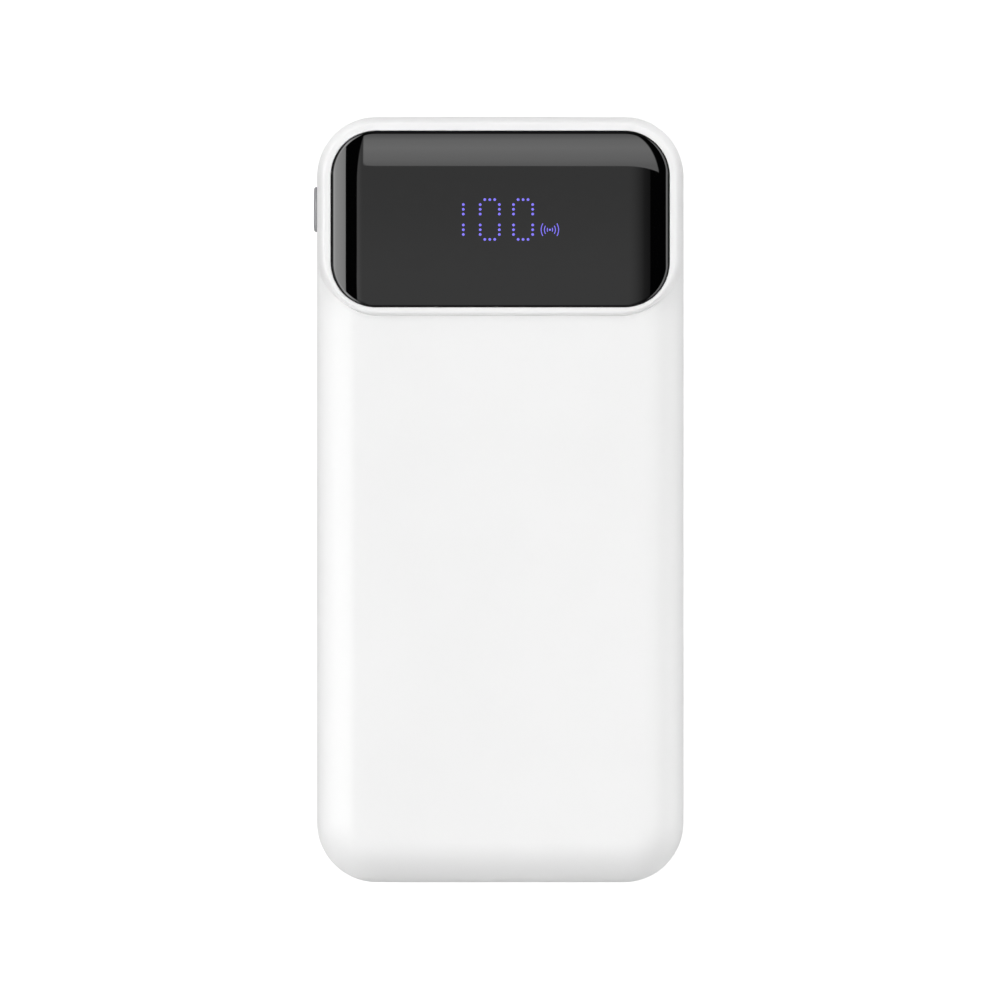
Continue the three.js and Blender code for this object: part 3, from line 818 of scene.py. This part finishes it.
def make_window_adhesive():
    """A black gasket: a ring under the window's rim, with a bead standing in the groove round it."""
    low, high = box_mm("window_adhesive")
    outer = BEAD_SLACK - WINDOW_GAP
    inner = LEDGE_WIDTH - GASKET_SHORT
    section = [
        (outer, low[2]), (outer, BEAD_TOP - BEAD_SOFT), (outer + 0.01, BEAD_TOP), (-BEAD_SLACK, BEAD_TOP),
        (-BEAD_SLACK, high[2]), (inner, high[2]), (inner, low[2]),
    ]
    part = band([WINDOW.ring(inset, z) for inset, z in section])
    make_object("window_gasket", *part, RUBBER, slot="adhesive", replaces=["window_adhesive"])


# ---------------------------------------------------------------- lit display

DOT_RADIUS = 0.25
DOT_RISE = 0.03
DOT_SUNK = 0.02
DOT_PITCH = 0.88
BAR_PITCH = 0.92
DIGIT_MIDDLE_Y = 51.85
COLUMN_SPAN = 3.55
ROW_SPAN = 7.37
ARM_GAP = 2.02
DIGITS = [(-6.84, "1"), (-1.94, "0"), (4.23, "0")]
ICON_CENTRE = (9.19, 49.96)
ICON_ARCS = [(0.5, 0.34), (1.02, 0.74), (1.62, 1.15)]
ICON_STROKE = 0.155
ICON_DOT_RADIUS = 0.19


def dome(x, y, radius):
    """A low lens standing on the window."""
    height = DOT_SUNK + DOT_RISE
    shape = ((1.0, 0.0), (1.0, 0.5), (0.86, 0.85), (0.5, 1.0))
    profile = [(radius * share, height * rise) for share, rise in shape]
    return turned(profile, x, y, WINDOW_HIGH[2] - DOT_SUNK, sides=16)


def digit_dots(x, figure):
    """Dot centres of a figure made of upright arms of three dots and bars of three dots."""
    dots = []
    columns = [0.0] if figure == "1" else [-COLUMN_SPAN / 2, COLUMN_SPAN / 2]
    for column in columns:
        for arm in (-1, 1):
            for k in range(3):
                dots.append((x + column, DIGIT_MIDDLE_Y + arm * (ARM_GAP / 2 + k * DOT_PITCH)))
    if figure == "0":
        for end in (-1, 1):
            for k in (-1, 0, 1):
                dots.append((x + k * BAR_PITCH, DIGIT_MIDDLE_Y + end * ROW_SPAN / 2))
    return dots


def arc_strip(cx, cy, reach, half_height, side, width):
    """A curved stroke of the charging icon, bowed away from the icon's centre."""
    radius = (reach * 0.9 + half_height) * 0.85
    spread = math.asin(min(0.95, half_height / radius))
    middle = side * (reach - radius)
    base, top = WINDOW_HIGH[2] - DOT_SUNK, WINDOW_HIGH[2] + DOT_RISE * 0.8
    rings = []
    for t in np.linspace(-spread, spread, 11):
        along = np.array([side * math.cos(t), math.sin(t)])
        inner = np.array([cx + middle, cy]) + along * (radius - width / 2)
        outer = np.array([cx + middle, cy]) + along * (radius + width / 2)
        loop = [(*inner, base), (*outer, base), (*outer, top), (*inner, top)]
        rings.append(np.array(loop if side > 0 else loop[::-1]))
    return loft(rings[::-1])


def make_display():
    digits = []
    for x, figure in DIGITS:
        digits += [dome(px, py, DOT_RADIUS) for px, py in digit_dots(x, figure)]
    make_object("display_digits", *merge(digits), GLOW, slot="display_light")
    cx, cy = ICON_CENTRE
    icon = [dome(cx, cy, ICON_DOT_RADIUS)]
    for reach, half in ICON_ARCS:
        for side in (-1, 1):
            icon.append(arc_strip(cx, cy, reach, half, side, ICON_STROKE))
    make_object("charging_icon", *merge(icon), GLOW, slot="display_light")


# ---------------------------------------------------------------- button

BUTTON_SOFT = 0.45
BUTTON_CROWN = 0.08
FLANGE_GROW = (1.0, 0.6)
FLANGE_X = (-32.0, -31.3)
FLANGE_SOFT = 0.1
STEM_START = -31.6


def make_button():
    """The cap, rising along X from its crowned face, with the flange that holds it in and its stem."""
    face, stem_end = BUTTON_LOW[0], BUTTON_HIGH[0]
    near, far = FLANGE_X
    cap = stadium(BUTTON_HALF_LENGTH, BUTTON_HALF_HEIGHT, steps=12, spacing=0.6)
    rings = [cap.ring(1.2, face), cap.ring(0.8, face + BUTTON_CROWN * 0.25)]
    rings += rounded(cap, BUTTON_SOFT, face + BUTTON_CROWN * 0.6, 8, top=False, start=80)
    rings.append(cap.ring(0, near + FLANGE_SOFT))
    grow_x, grow_y = FLANGE_GROW
    flange = stadium(BUTTON_HALF_LENGTH + grow_x, BUTTON_HALF_HEIGHT + grow_y, steps=10, spacing=1.0)
    plate = [
        flange.ring(FLANGE_SOFT, near), flange.ring(0, near + FLANGE_SOFT),
        flange.ring(0, far - FLANGE_SOFT), flange.ring(FLANGE_SOFT, far),
    ]
    stem = Outline(-1.5, 1.5, -1.0, 1.0, 0.3, steps=4, spacing=1.0)
    button = make_object("button_cap", *turn_to_x(loft(rings), BUTTON_Y, SEAM_Z))
    join(button, turn_to_x(loft(plate), BUTTON_Y, SEAM_Z))
    join(button, turn_to_x(slab(stem, STEM_START, stem_end), BUTTON_Y, SEAM_Z))
    dress(button, BUTTON_PAINTED_SHADE, "power_button", "grey_button", ["power_button"])


# ---------------------------------------------------------------- sockets

MOUTH_Y = 70.4
SHEET_SIDES = 6


def socket_band(outline, wall, back, front, lip):
    """A tube of formed sheet along Y whose lip at the mouth is rolled."""
    section = [(0.0, back), (0.0, front - lip)]
    section += [(-lip * (1 - math.cos(a)) * 0.5, front - lip * (1 - math.sin(a))) for a in arc(0, 90, 3)][1:]
    section += [(wall * 0.5, front), (wall, front - wall * 0.4), (wall, back)]
    return band([outline.ring(inset, y) for inset, y in section])


def socket_place(node):
    """A socket shell's box, the middle of its mouth in X and Z, and half its mouth's width and height."""
    low, high = box_mm(node)
    x, _, z = (low + high) / 2
    half_x, _, half_z = (high - low) / 2
    return low, high, x, z, half_x, half_z


def contact_row(name, paths, places, z, width, thickness):
    """Gold contacts as one piece. Each path in Y and Z is repeated at every place in X."""
    contacts = [moved(strip(path, width, thickness), x, 0, z) for x in places for path in paths]
    make_object(name, *merge(contacts), GOLD, slot="gold")


def make_usb_a(side):
    low, high, x, z, half_x, half_z = socket_place(f"usb_a_{side}_shell")
    outline = Outline(-half_x, half_x, -half_z, half_z, 0.6, steps=SHEET_SIDES, spacing=20.0)
    parts = [turn_to_y(socket_band(outline, 0.3, low[1], high[1], 0.25), x, z)]
    wall = half_z - 0.3
    for sign in (-1, 1):
        for offset in (-3.1, 3.1):
            reach = [(-9.0, 0.02), (-7.6, 0.12), (-6.0, 0.42), (-4.8, 0.62), (-4.0, 0.55), (-3.2, 0.2)]
            if sign > 0:
                reach = [(y, depth * 0.3) for y, depth in reach]
            path = [(MOUTH_Y + y, sign * (wall - depth)) for y, depth in reach]
            parts.append(moved(strip(path, 2.2, 0.24), x + offset, 0, z))
    make_object(f"usb_a_{side}_sheet", *merge(parts), STEEL, slot="steel", replaces=[f"usb_a_{side}_shell"])

    tongue_low, tongue_high = box_mm(f"usb_a_{side}_insulator")
    back = Outline(-half_x + 0.4, half_x - 0.4, -half_z + 0.4, half_z - 0.4, 0.25, steps=3, spacing=20.0)
    block = turn_to_y(slab(back, tongue_low[1], low[1] + 3.0), x, z)
    blade = Outline(-5.55, 5.55, 0.2, 2.04, 0.35, steps=4, spacing=20.0)
    front = tongue_high[1]
    rings = [
        blade.ring(0, low[1] + 2.5), blade.ring(0, front - 0.5),
        blade.ring(0.12, front - 0.12), blade.ring(0.3, front),
    ]
    body = make_object(f"usb_a_{side}_core", *block)
    join(body, turn_to_y(loft(rings), x, z))
    dress(body, WHITE_PLASTIC, slot="white_plastic", replaces=[f"usb_a_{side}_insulator"])
    path = [(MOUTH_Y - 10.9, 0.18), (MOUTH_Y - 3.2, 0.14), (MOUTH_Y - 2.4, 0.02), (MOUTH_Y - 1.8, 0.12)]
    contact_row(f"usb_a_{side}_contacts", [path], [x + k for k in (-3.5, -1.0, 1.0, 3.5)], z, 1.0, 0.12)


def make_usb_c():
    low, high, x, z, half_x, half_z = socket_place("usb_c_shell")
    outline = Outline(-half_x, half_x, -half_z, half_z, 1.6, steps=2 * SHEET_SIDES, spacing=20.0)
    tube = turn_to_y(socket_band(outline, 0.25, low[1], high[1], 0.2), x, z)
    make_object("usb_c_sheet", *tube, STEEL, slot="steel", replaces=["usb_c_shell"])

    core_low, core_high = box_mm("usb_c_insulator")
    back = outline.inset(0.35)
    blade = Outline(-3.35, 3.35, -0.35, 0.35, 0.3, steps=4, spacing=20.0)
    front = core_high[1]
    body = make_object("usb_c_core", *turn_to_y(slab(back, core_low[1], low[1] + 1.8), x, z))
    rings = [blade.ring(0, low[1] + 1.5), blade.ring(0, front - 0.25), blade.ring(0.2, front)]
    join(body, turn_to_y(loft(rings), x, z))
    dress(body, BLACK_PLASTIC, slot="black_plastic", replaces=["usb_c_insulator"])
    paths = [
        [(MOUTH_Y - 5.4, side * 0.36), (MOUTH_Y - 3.0, side * 0.37), (MOUTH_Y - 1.2, side * 0.37)]
        for side in (-1, 1)
    ]
    contact_row("usb_c_contacts", paths, [x + (k - 5.5) * 0.5 for k in range(12)], z, 0.26, 0.06)


MICRO_CHAMFER = 0.95


def micro_ring(half_x, half_z, inset, y):
    """The outline of a micro-USB socket, with chamfered lower corners, moved in by inset."""
    x, top, bottom = half_x - inset, half_z - inset, -half_z + inset
    chamfer = MICRO_CHAMFER - inset * 0.6
    right = [
        (x - chamfer, bottom), (x - chamfer * 0.12, bottom + chamfer * 0.85), (x, bottom + chamfer * 1.2),
        (x, top - 0.35), (x - 0.1, top - 0.1), (x - 0.35, top),
    ]
    left = [(-across, up) for across, up in right[::-1]]
    return np.array([(across, up, y) for across, up in left[-1:] + right + left[:-1]])


def make_micro_usb():
    low, high, x, z, half_x, half_z = socket_place("micro_usb_shell")

    front = high[1]
    section = [(0.0, low[1]), (0.0, front - 0.3), (-0.08, front - 0.08), (0.02, front), (0.14, front),
               (0.25, front - 0.15), (0.25, low[1])]
    tube = turn_to_y(band([micro_ring(half_x, half_z, inset, y) for inset, y in section]), x, z)
    make_object("micro_usb_sheet", *tube, STEEL, slot="steel", replaces=["micro_usb_shell"])

    core_low, core_high = box_mm("micro_usb_insulator")
    block = [micro_ring(half_x, half_z, 0.35, y) for y in (core_low[1], low[1] + 1.5)]
    body = make_object("micro_usb_core", *turn_to_y(loft(block), x, z))
    blade = Outline(-2.55, 2.55, 0.0, 0.5, 0.12, steps=3, spacing=20.0)
    rings = [blade.ring(0, low[1] + 1.2), blade.ring(0, core_high[1] - 0.2), blade.ring(0.1, core_high[1])]
    join(body, turn_to_y(loft(rings), x, z))
    dress(body, BLACK_PLASTIC, slot="black_plastic", replaces=["micro_usb_insulator"])
    path = [(MOUTH_Y - 4.0, -0.03), (MOUTH_Y - 2.5, -0.04), (MOUTH_Y - 1.0, -0.02)]
    contact_row("micro_usb_contacts", [path], [x + k * 0.65 for k in range(-2, 3)], z, 0.36, 0.06)


# ---------------------------------------------------------------- inside

COIL_BORE = 10.0
COIL_TURNS = 13
WIRE_GAP = 0.96


def make_coil():
    """The charging coil's turns: one flat spiral of round enamelled wire."""
    low, high = box_mm("charging_coil")
    cx, cy, cz = (low + high) / 2
    outer = (high[0] - low[0]) / 2
    wire = (high[2] - low[2]) / 2 - 0.01
    inner, turns, steps, sides = COIL_BORE, COIL_TURNS, 44, 8
    rings = []
    for k in range(turns * steps + 1):
        angle = 2 * math.pi * k / steps
        radius = inner + wire + (outer - inner - 2 * wire) * k / (turns * steps)
        out = np.array([math.cos(angle), math.sin(angle), 0.0])
        centre = np.array([cx, cy, cz]) + out * radius
        section = [2 * math.pi * j / sides for j in range(sides)]
        up = np.array([0.0, 0.0, wire])
        rings.append(np.array([
            centre + out * wire * WIRE_GAP * math.cos(t) + up * math.sin(t) for t in section
        ]))
    spiral = loft(rings[::-1])
    make_object("coil_turns", *spiral, COPPER, slot="copper", replaces=["charging_coil"], crease=60)


def make_cell(which):
    """A pouch cell: a soft-edged body and the thin sealed hem that its tabs come out of."""
    low, high = box_mm(f"battery_cell_{which}")
    soft, hem = 0.9, 3.2
    body = Outline(low[0], high[0], low[1], high[1] - hem, 2.6, steps=6, spacing=30.0)
    rings = rounded(body, soft, low[2], 4, top=False) + rounded(body, soft, high[2], 4)
    cell = make_object(f"cell_{which}_pouch", *loft(rings))
    middle = (low[2] + high[2]) / 2
    sheet = Outline(low[0] + 0.6, high[0] - 0.6, high[1] - hem - 2, high[1], 0.8, steps=4, spacing=30.0)
    join(cell, slab(sheet, middle - 0.15, middle + 0.15))
    dress(cell, POUCH, slot="pouch", replaces=[f"battery_cell_{which}"])


def make_capacitor(index):
    """A capacitor's can, with a crimp near its foot, a raised rim and a scored vent on top."""
    low, high = box_mm(f"bulk_capacitor_{index}")
    radius, height = (high[0] - low[0]) / 2, high[2] - low[2]
    x, y, _ = (low + high) / 2
    profile = [
        (radius - 0.25, 0), (radius, 0.2), (radius, 0.75), (radius - 0.22, 0.95), (radius, 1.15),
        (radius, height - 0.3), (radius - 0.1, height - 0.08), (radius - 0.35, height),
        (radius - 0.75, height), (radius - 0.85, height - 0.12),
    ]
    can = make_object(f"capacitor_can_{index}", *turned(profile, x, y, low[2]))
    for across, along in ((1.9, 0.09), (0.09, 1.9)):
        cut(can, box(x - across, x + across, y - along, y + along, high[2] - 0.22, high[2] + 1))
    dress(can, STEEL, slot="steel", replaces=[f"bulk_capacitor_{index}"])


def make_inductor(index):
    """An inductor's moulded core, with a slight waist and a dimple that marks its first pin."""
    low, high = box_mm(f"power_inductor_{index}")
    foot, top = low[2], high[2]
    waist = 0.25
    outline = Outline(low[0], high[0], low[1], high[1], 1.0, steps=5, spacing=2.0)
    section = [
        (0.15, foot), (0, foot + 0.15), (0, foot + 0.7), (waist, foot + 0.9),
        (waist, top - 0.9), (0, top - 0.7), (0, top - 0.2), (0.2, top),
    ]
    core = make_object(f"inductor_core_{index}", *loft([outline.ring(inset, z) for inset, z in section]))
    x, y, _ = (low + high) / 2
    cut(core, turned([(0.45, -0.15), (0.6, 1.0)], x - 2.0, y + 2.0, high[2], sides=16))
    dress(core, FERRITE, slot="ferrite", replaces=[f"power_inductor_{index}"])


LEG_REACH = 0.35


def make_chip(node, pins):
    """A moulded chip with a pin-one dimple, and its bent legs as a second piece."""
    low, high = box_mm(node)
    footprint = Outline(low[0], high[0], low[1], high[1], LEG_REACH + 0.15, steps=2, spacing=20.0)
    outline = footprint.inset(LEG_REACH)
    middle = low[2] + (high[2] - low[2]) * 0.45
    rings = [outline.ring(0.08, low[2]), outline.ring(0, middle), outline.ring(0.1, high[2])]
    case = make_object(f"{node}_case", *loft(rings))
    dimple = turned([(0.22, -0.08), (0.3, 0.5)], low[0] + 0.95, high[1] - 0.95, high[2], sides=16)
    cut(case, dimple)
    dress(case, BLACK_PLASTIC, slot="black_plastic", replaces=[node])
    legs = []
    half = (high[1] - low[1]) / 2
    centre = (low + high) / 2
    pitch = (high[0] - low[0] - 1.2) / (pins - 1)
    for end in (-1, 1):
        for k in range(pins):
            path = [
                (centre[1] + end * (half - 0.45), middle), (centre[1] + end * (half - 0.2), middle),
                (centre[1] + end * (half - 0.14), low[2] + 0.1), (centre[1] + end * half, low[2] + 0.06),
            ]
            leg = strip(path[::end], pitch * 0.45, 0.12)
            legs.append(moved(leg, centre[0] + (k - (pins - 1) / 2) * pitch))
    make_object(f"{node}_legs", *merge(legs), SOLDER, slot="solder")


def make_screw(index):
    """A pan-head screw with a cross recess and a real thread."""
    node = f"board_screw_{index}"
    low, high = box_mm(node)
    x, y, _ = (low + high) / 2
    seat = BOARD_HIGH[2] + BOARD_CLEARANCE
    pitch, core, ridge, sides, per_turn = 0.5, 0.7, 0.2, 24, 8
    rings = []
    levels = int((seat - 0.1 - low[2]) / (pitch / per_turn))
    for level in range(levels + 1):
        z = low[2] + level * pitch / per_turn
        taper = min(1.0, 0.45 + (z - low[2]) / 0.8)
        fade = min(1.0, max(0.0, (seat - 0.3 - z) / 0.2))
        ring = []
        for k in range(sides):
            phase = (level / per_turn - k / sides) % 1.0
            radius = (core + ridge * fade * (1 - abs(2 * phase - 1))) * taper
            angle = 2 * math.pi * k / sides
            ring.append((x + radius * math.cos(angle), y + radius * math.sin(angle), z))
        rings.append(np.array(ring))
    screw = make_object(f"screw_{index}", *loft(rings))
    top = high[2]
    head = [
        (core, seat - 0.4), (core, seat - 0.001), (1.7, seat), (1.8, seat + 0.1),
        (1.8, seat + 0.35), (1.62, seat + 0.6), (1.2, top - 0.04), (0.8, top),
    ]
    join(screw, turned(head, x, y))
    for across, along in ((0.95, 0.17), (0.17, 0.95)):
        cut(screw, box(x - across, x + across, y - along, y + along, top - 0.42, top + 1))
    dress(screw, STEEL, slot="steel", replaces=[node], crease=38)


def finish_plain_nodes():
    """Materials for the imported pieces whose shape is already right."""
    finishes = {
        BOARD_GREEN: ["main_board", "display_board", "protection_board"],
        BLACK_PLASTIC: [
            "display_header", "usb_c_riser", "micro_usb_riser", "switch_housing", "led_display_block",
        ],
        WHITE_PLASTIC: ["switch_plunger"],
        NICKEL: [f"cell_tab_{layer}_{side}" for layer in ("lower", "upper") for side in ("left", "right")],
        TAPE: ["cell_tape"],
        FOAM: ["cell_foam_pad"],
        FERRITE: ["ferrite_sheet"],
        COPPER: ["coil_lead_outer", "coil_lead_inner"],
        RED_WIRE: ["battery_wire_red"],
        BLACK_WIRE: ["battery_wire_black"],
        FILM: ["light_mask_film"],
    }
    for material, names in finishes.items():
        for name in names:
            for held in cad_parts[name].material_slots:
                held.material = material


# ---------------------------------------------------------------- studio

CAMERA_HEIGHT = 5000.0
CAMERA_AIM = (-0.05, -0.09)
VIEW_WIDTH = 185.5
SENSOR_WIDTH = 36.0
FLOOR_HALF = 2.5
FLOOR_DROP = 0.00005
FLOOR_GLOW = 0.74
BACKDROP = 0.96


def make_camera():
    """Looks straight down from far enough that the sides stay parallel."""
    data = bpy.data.cameras.new("camera")
    data.sensor_width = SENSOR_WIDTH
    data.lens = SENSOR_WIDTH * (CAMERA_HEIGHT - SPRING_Z) / VIEW_WIDTH
    data.clip_start = 0.1
    data.clip_end = 20.0
    camera = bpy.data.objects.new("camera", data)
    camera.location = (CAMERA_AIM[0] * MM, CAMERA_AIM[1] * MM, CAMERA_HEIGHT * MM)
    bpy.context.scene.collection.objects.link(camera)
    bpy.context.scene.camera = camera


def make_floor():
    """A pale floor, lit a little from within so that it stays white round the object."""
    made = Nodes("floor")
    drift = made.noise(3.0, 1.0)
    made.feed(made.ramp(drift, [(0.3, (0.49, 0.49, 0.49)), (0.7, (0.51, 0.51, 0.51))]), "Base Color")
    made.set(Roughness=0.9, Specular_IOR_Level=0.0)
    made.shader.inputs["Emission Color"].default_value = (1, 1, 1, 1)
    path = made.tree.nodes.new("ShaderNodeLightPath")
    glow = made.tree.nodes.new("ShaderNodeMath")
    glow.operation = "MULTIPLY"
    glow.inputs[1].default_value = FLOOR_GLOW
    made.tree.links.new(path.outputs["Is Camera Ray"], glow.inputs[0])
    made.feed(glow.outputs[0], "Emission Strength")
    steps = 24
    mesh = bpy.data.meshes.new("floor")
    grid = np.linspace(-FLOOR_HALF, FLOOR_HALF, steps + 1)
    vertices = [(x, y, -FLOOR_DROP) for y in grid for x in grid]
    row = steps + 1
    faces = [
        (j * row + i, j * row + i + 1, (j + 1) * row + i + 1, (j + 1) * row + i)
        for j in range(steps) for i in range(steps)
    ]
    mesh.from_pydata(vertices, [], faces)
    mesh.materials.append(made.material)
    floor = bpy.data.objects.new("floor", mesh)
    bpy.context.scene.collection.objects.link(floor)


# Soft lamps: azimuth and elevation in degrees, how tightly each is focused, and its strength.
SOFT_LAMPS = [
    (0, 0, 20, 11.2),
    (0, 0, 60, 5.4),
    (90, 0, 20, 6.0),
    (90, 20, 60, 6.9),
    (90, 40, 60, 11.4),
    (180, 30, 60, 22.0),
    (270, 30, 60, 2.8),
    (270, 40, 60, 5.3),
    (270, 60, 60, 10.3),
]

# Panels that the window mirrors: slope of the view against brightness.
CENTRE_PANEL = [(-0.093, 1.82), (-0.055, 1.21), (0.01, 1.21), (0.064, 0.73), (0.107, 0.36), (0.165, 0.22)]
LEFT_LAMP = [(-0.463, 10.2), (-0.418, 7.5), (-0.355, 6.8), (-0.282, 6.1), (-0.214, 5.0)]
TOP_SOFTBOX = [(0.064, 2.9), (0.10, 3.5), (0.21, 4.2), (0.31, 3.75), (0.40, 2.2)]
RIGHT_LINE = 4.2
LEFT_BEYOND = 2.0
WALL_LIGHT = 0.7
WALL_SHADE = 0.35


class Sky:
    """The studio as a world. Its panels are placed by the slopes u = x/z and v = y/z of a direction."""

    def __init__(self):
        world = bpy.data.worlds.new("studio")
        world.use_nodes = True
        bpy.context.scene.world = world
        self.tree = world.node_tree
        self.tree.nodes.clear()
        self.place = self.tree.nodes.new("ShaderNodeTexCoord").outputs["Generated"]
        split = self.tree.nodes.new("ShaderNodeSeparateXYZ")
        self.tree.links.new(self.place, split.inputs[0])
        self.up = split.outputs[2]
        above = self.math("MAXIMUM", self.up, 0.02)
        self.u = self.math("DIVIDE", split.outputs[0], above)
        self.v = self.math("DIVIDE", split.outputs[1], above)

    def math(self, operation, a, b=0.0):
        node = self.tree.nodes.new("ShaderNodeMath")
        node.operation = operation
        for socket, value in zip(node.inputs, (a, b)):
            if isinstance(value, (int, float)):
                socket.default_value = value
            else:
                self.tree.links.new(value, socket)
        return node.outputs[0]

    def slope(self, du, dv, dv_upper=0.0):
        """u and v weighed together, with v weighed again where it is positive."""
        total = self.math("ADD", self.math("MULTIPLY", self.u, du), self.math("MULTIPLY", self.v, dv))
        upper = self.math("MULTIPLY", self.math("MAXIMUM", self.v, 0.0), dv_upper)
        return self.math("ADD", total, upper)

    def step(self, source, start, end):
        """0 before start and 1 after end, smooth between. It falls instead if end is below start."""
        low, high = (0.0, 1.0) if end > start else (1.0, 0.0)
        node = map_range(self.tree, source, min(start, end), max(start, end), low, high)
        node.interpolation_type = "SMOOTHSTEP"
        return node.outputs["Result"]

    def profile(self, source, points):
        """A brightness that follows a few points, straight between them."""
        total = points[0][1]
        for (x0, y0), (x1, y1) in zip(points, points[1:]):
            rise = map_range(self.tree, source, x0, x1, 0.0, y1 - y0)
            total = self.math("ADD", total, rise.outputs["Result"])
        return total

    def mix(self, a, b, share):
        """a where share is 0 and b where it is 1."""
        kept = self.math("MULTIPLY", a, self.math("SUBTRACT", 1.0, share))
        return self.math("ADD", kept, self.math("MULTIPLY", b, share))

    def lamp(self, azimuth, elevation, focus, strength):
        """A soft lamp that fades away from its middle."""
        side = math.cos(math.radians(elevation))
        aim = self.tree.nodes.new("ShaderNodeVectorMath")
        aim.operation = "DOT_PRODUCT"
        self.tree.links.new(self.place, aim.inputs[0])
        aim.inputs[1].default_value = (
            side * math.cos(math.radians(azimuth)),
            side * math.sin(math.radians(azimuth)),
            math.sin(math.radians(elevation)),
        )
        facing = self.math("MAXIMUM", aim.outputs["Value"], 0.0)
        return self.math("MULTIPLY", self.math("POWER", facing, float(focus)), float(strength))


def mirrored_panels(sky):
    """The sharp shapes that the glossy window reflects: a centre panel, softbox and lamp between flags."""
    level = sky.profile(sky.u, CENTRE_PANEL)
    level = sky.math("MULTIPLY", level, sky.mix(1.0, 0.86, sky.step(sky.v, 0.0085, 0.0115)))
    above = sky.step(sky.slope(0.09, 1.0), 0.062, 0.064)
    softbox = sky.math("MULTIPLY", above, sky.step(sky.u, -0.052, -0.044))
    softbox = sky.math("MULTIPLY", softbox, sky.step(sky.slope(1.0, 1.0), 0.015, 0.045))
    flagged = sky.step(sky.u, 0.166, 0.175)
    level = sky.mix(level, 0.0, flagged)
    level = sky.mix(level, sky.profile(sky.v, TOP_SOFTBOX), softbox)
    level = sky.mix(level, 0.0, sky.step(sky.slope(1.0, 0.75), 0.315, 0.335))
    level = sky.mix(level, RIGHT_LINE, sky.step(sky.u, 0.435, 0.45))
    level = sky.mix(level, 0.0, sky.step(sky.slope(1.0, 0.0, -0.14), -0.094, -0.102))
    lamp = sky.mix(sky.profile(sky.u, LEFT_LAMP), LEFT_BEYOND, sky.step(sky.u, -0.55, -0.75))
    return sky.mix(level, lamp, sky.step(sky.u, -0.230, -0.238))


def make_studio():
    sky = Sky()
    soft = 0.0
    for lamp in SOFT_LAMPS:
        soft = sky.math("ADD", soft, sky.lamp(*lamp))
    path = sky.tree.nodes.new("ShaderNodeLightPath")
    wall = sky.mix(WALL_LIGHT, WALL_SHADE, sky.step(sky.up, 0.1, 0.6))
    mirrored = sky.mix(wall, mirrored_panels(sky), sky.step(sky.up, 0.6, 0.8))
    shown = sky.mix(soft, mirrored, path.outputs["Is Glossy Ray"])
    shown = sky.mix(shown, BACKDROP, path.outputs["Is Camera Ray"])
    background = sky.tree.nodes.new("ShaderNodeBackground")
    sky.tree.links.new(shown, background.inputs["Strength"])
    output = sky.tree.nodes.new("ShaderNodeOutputWorld")
    sky.tree.links.new(background.outputs[0], output.inputs["Surface"])

    settings = bpy.context.scene.view_settings
    settings.view_transform = "Standard"
    settings.look = "None"


make_camera()
make_floor()
make_studio()
make_front_shell()
make_back_shell()
make_window()
make_window_adhesive()
make_display()
make_button()
for hand in ("left", "right"):
    make_usb_a(hand)
make_usb_c()
make_micro_usb()
make_coil()
for layer in ("lower", "upper"):
    make_cell(layer)
for pair_index in (1, 2):
    make_capacitor(pair_index)
    make_inductor(pair_index)
make_chip("power_controller_chip", 6)
make_chip("wireless_driver_chip", 7)
make_chip("power_mosfet_1", 4)
make_chip("power_mosfet_2", 4)
for screw_index in range(1, 5):
    make_screw(screw_index)
finish_plain_nodes()
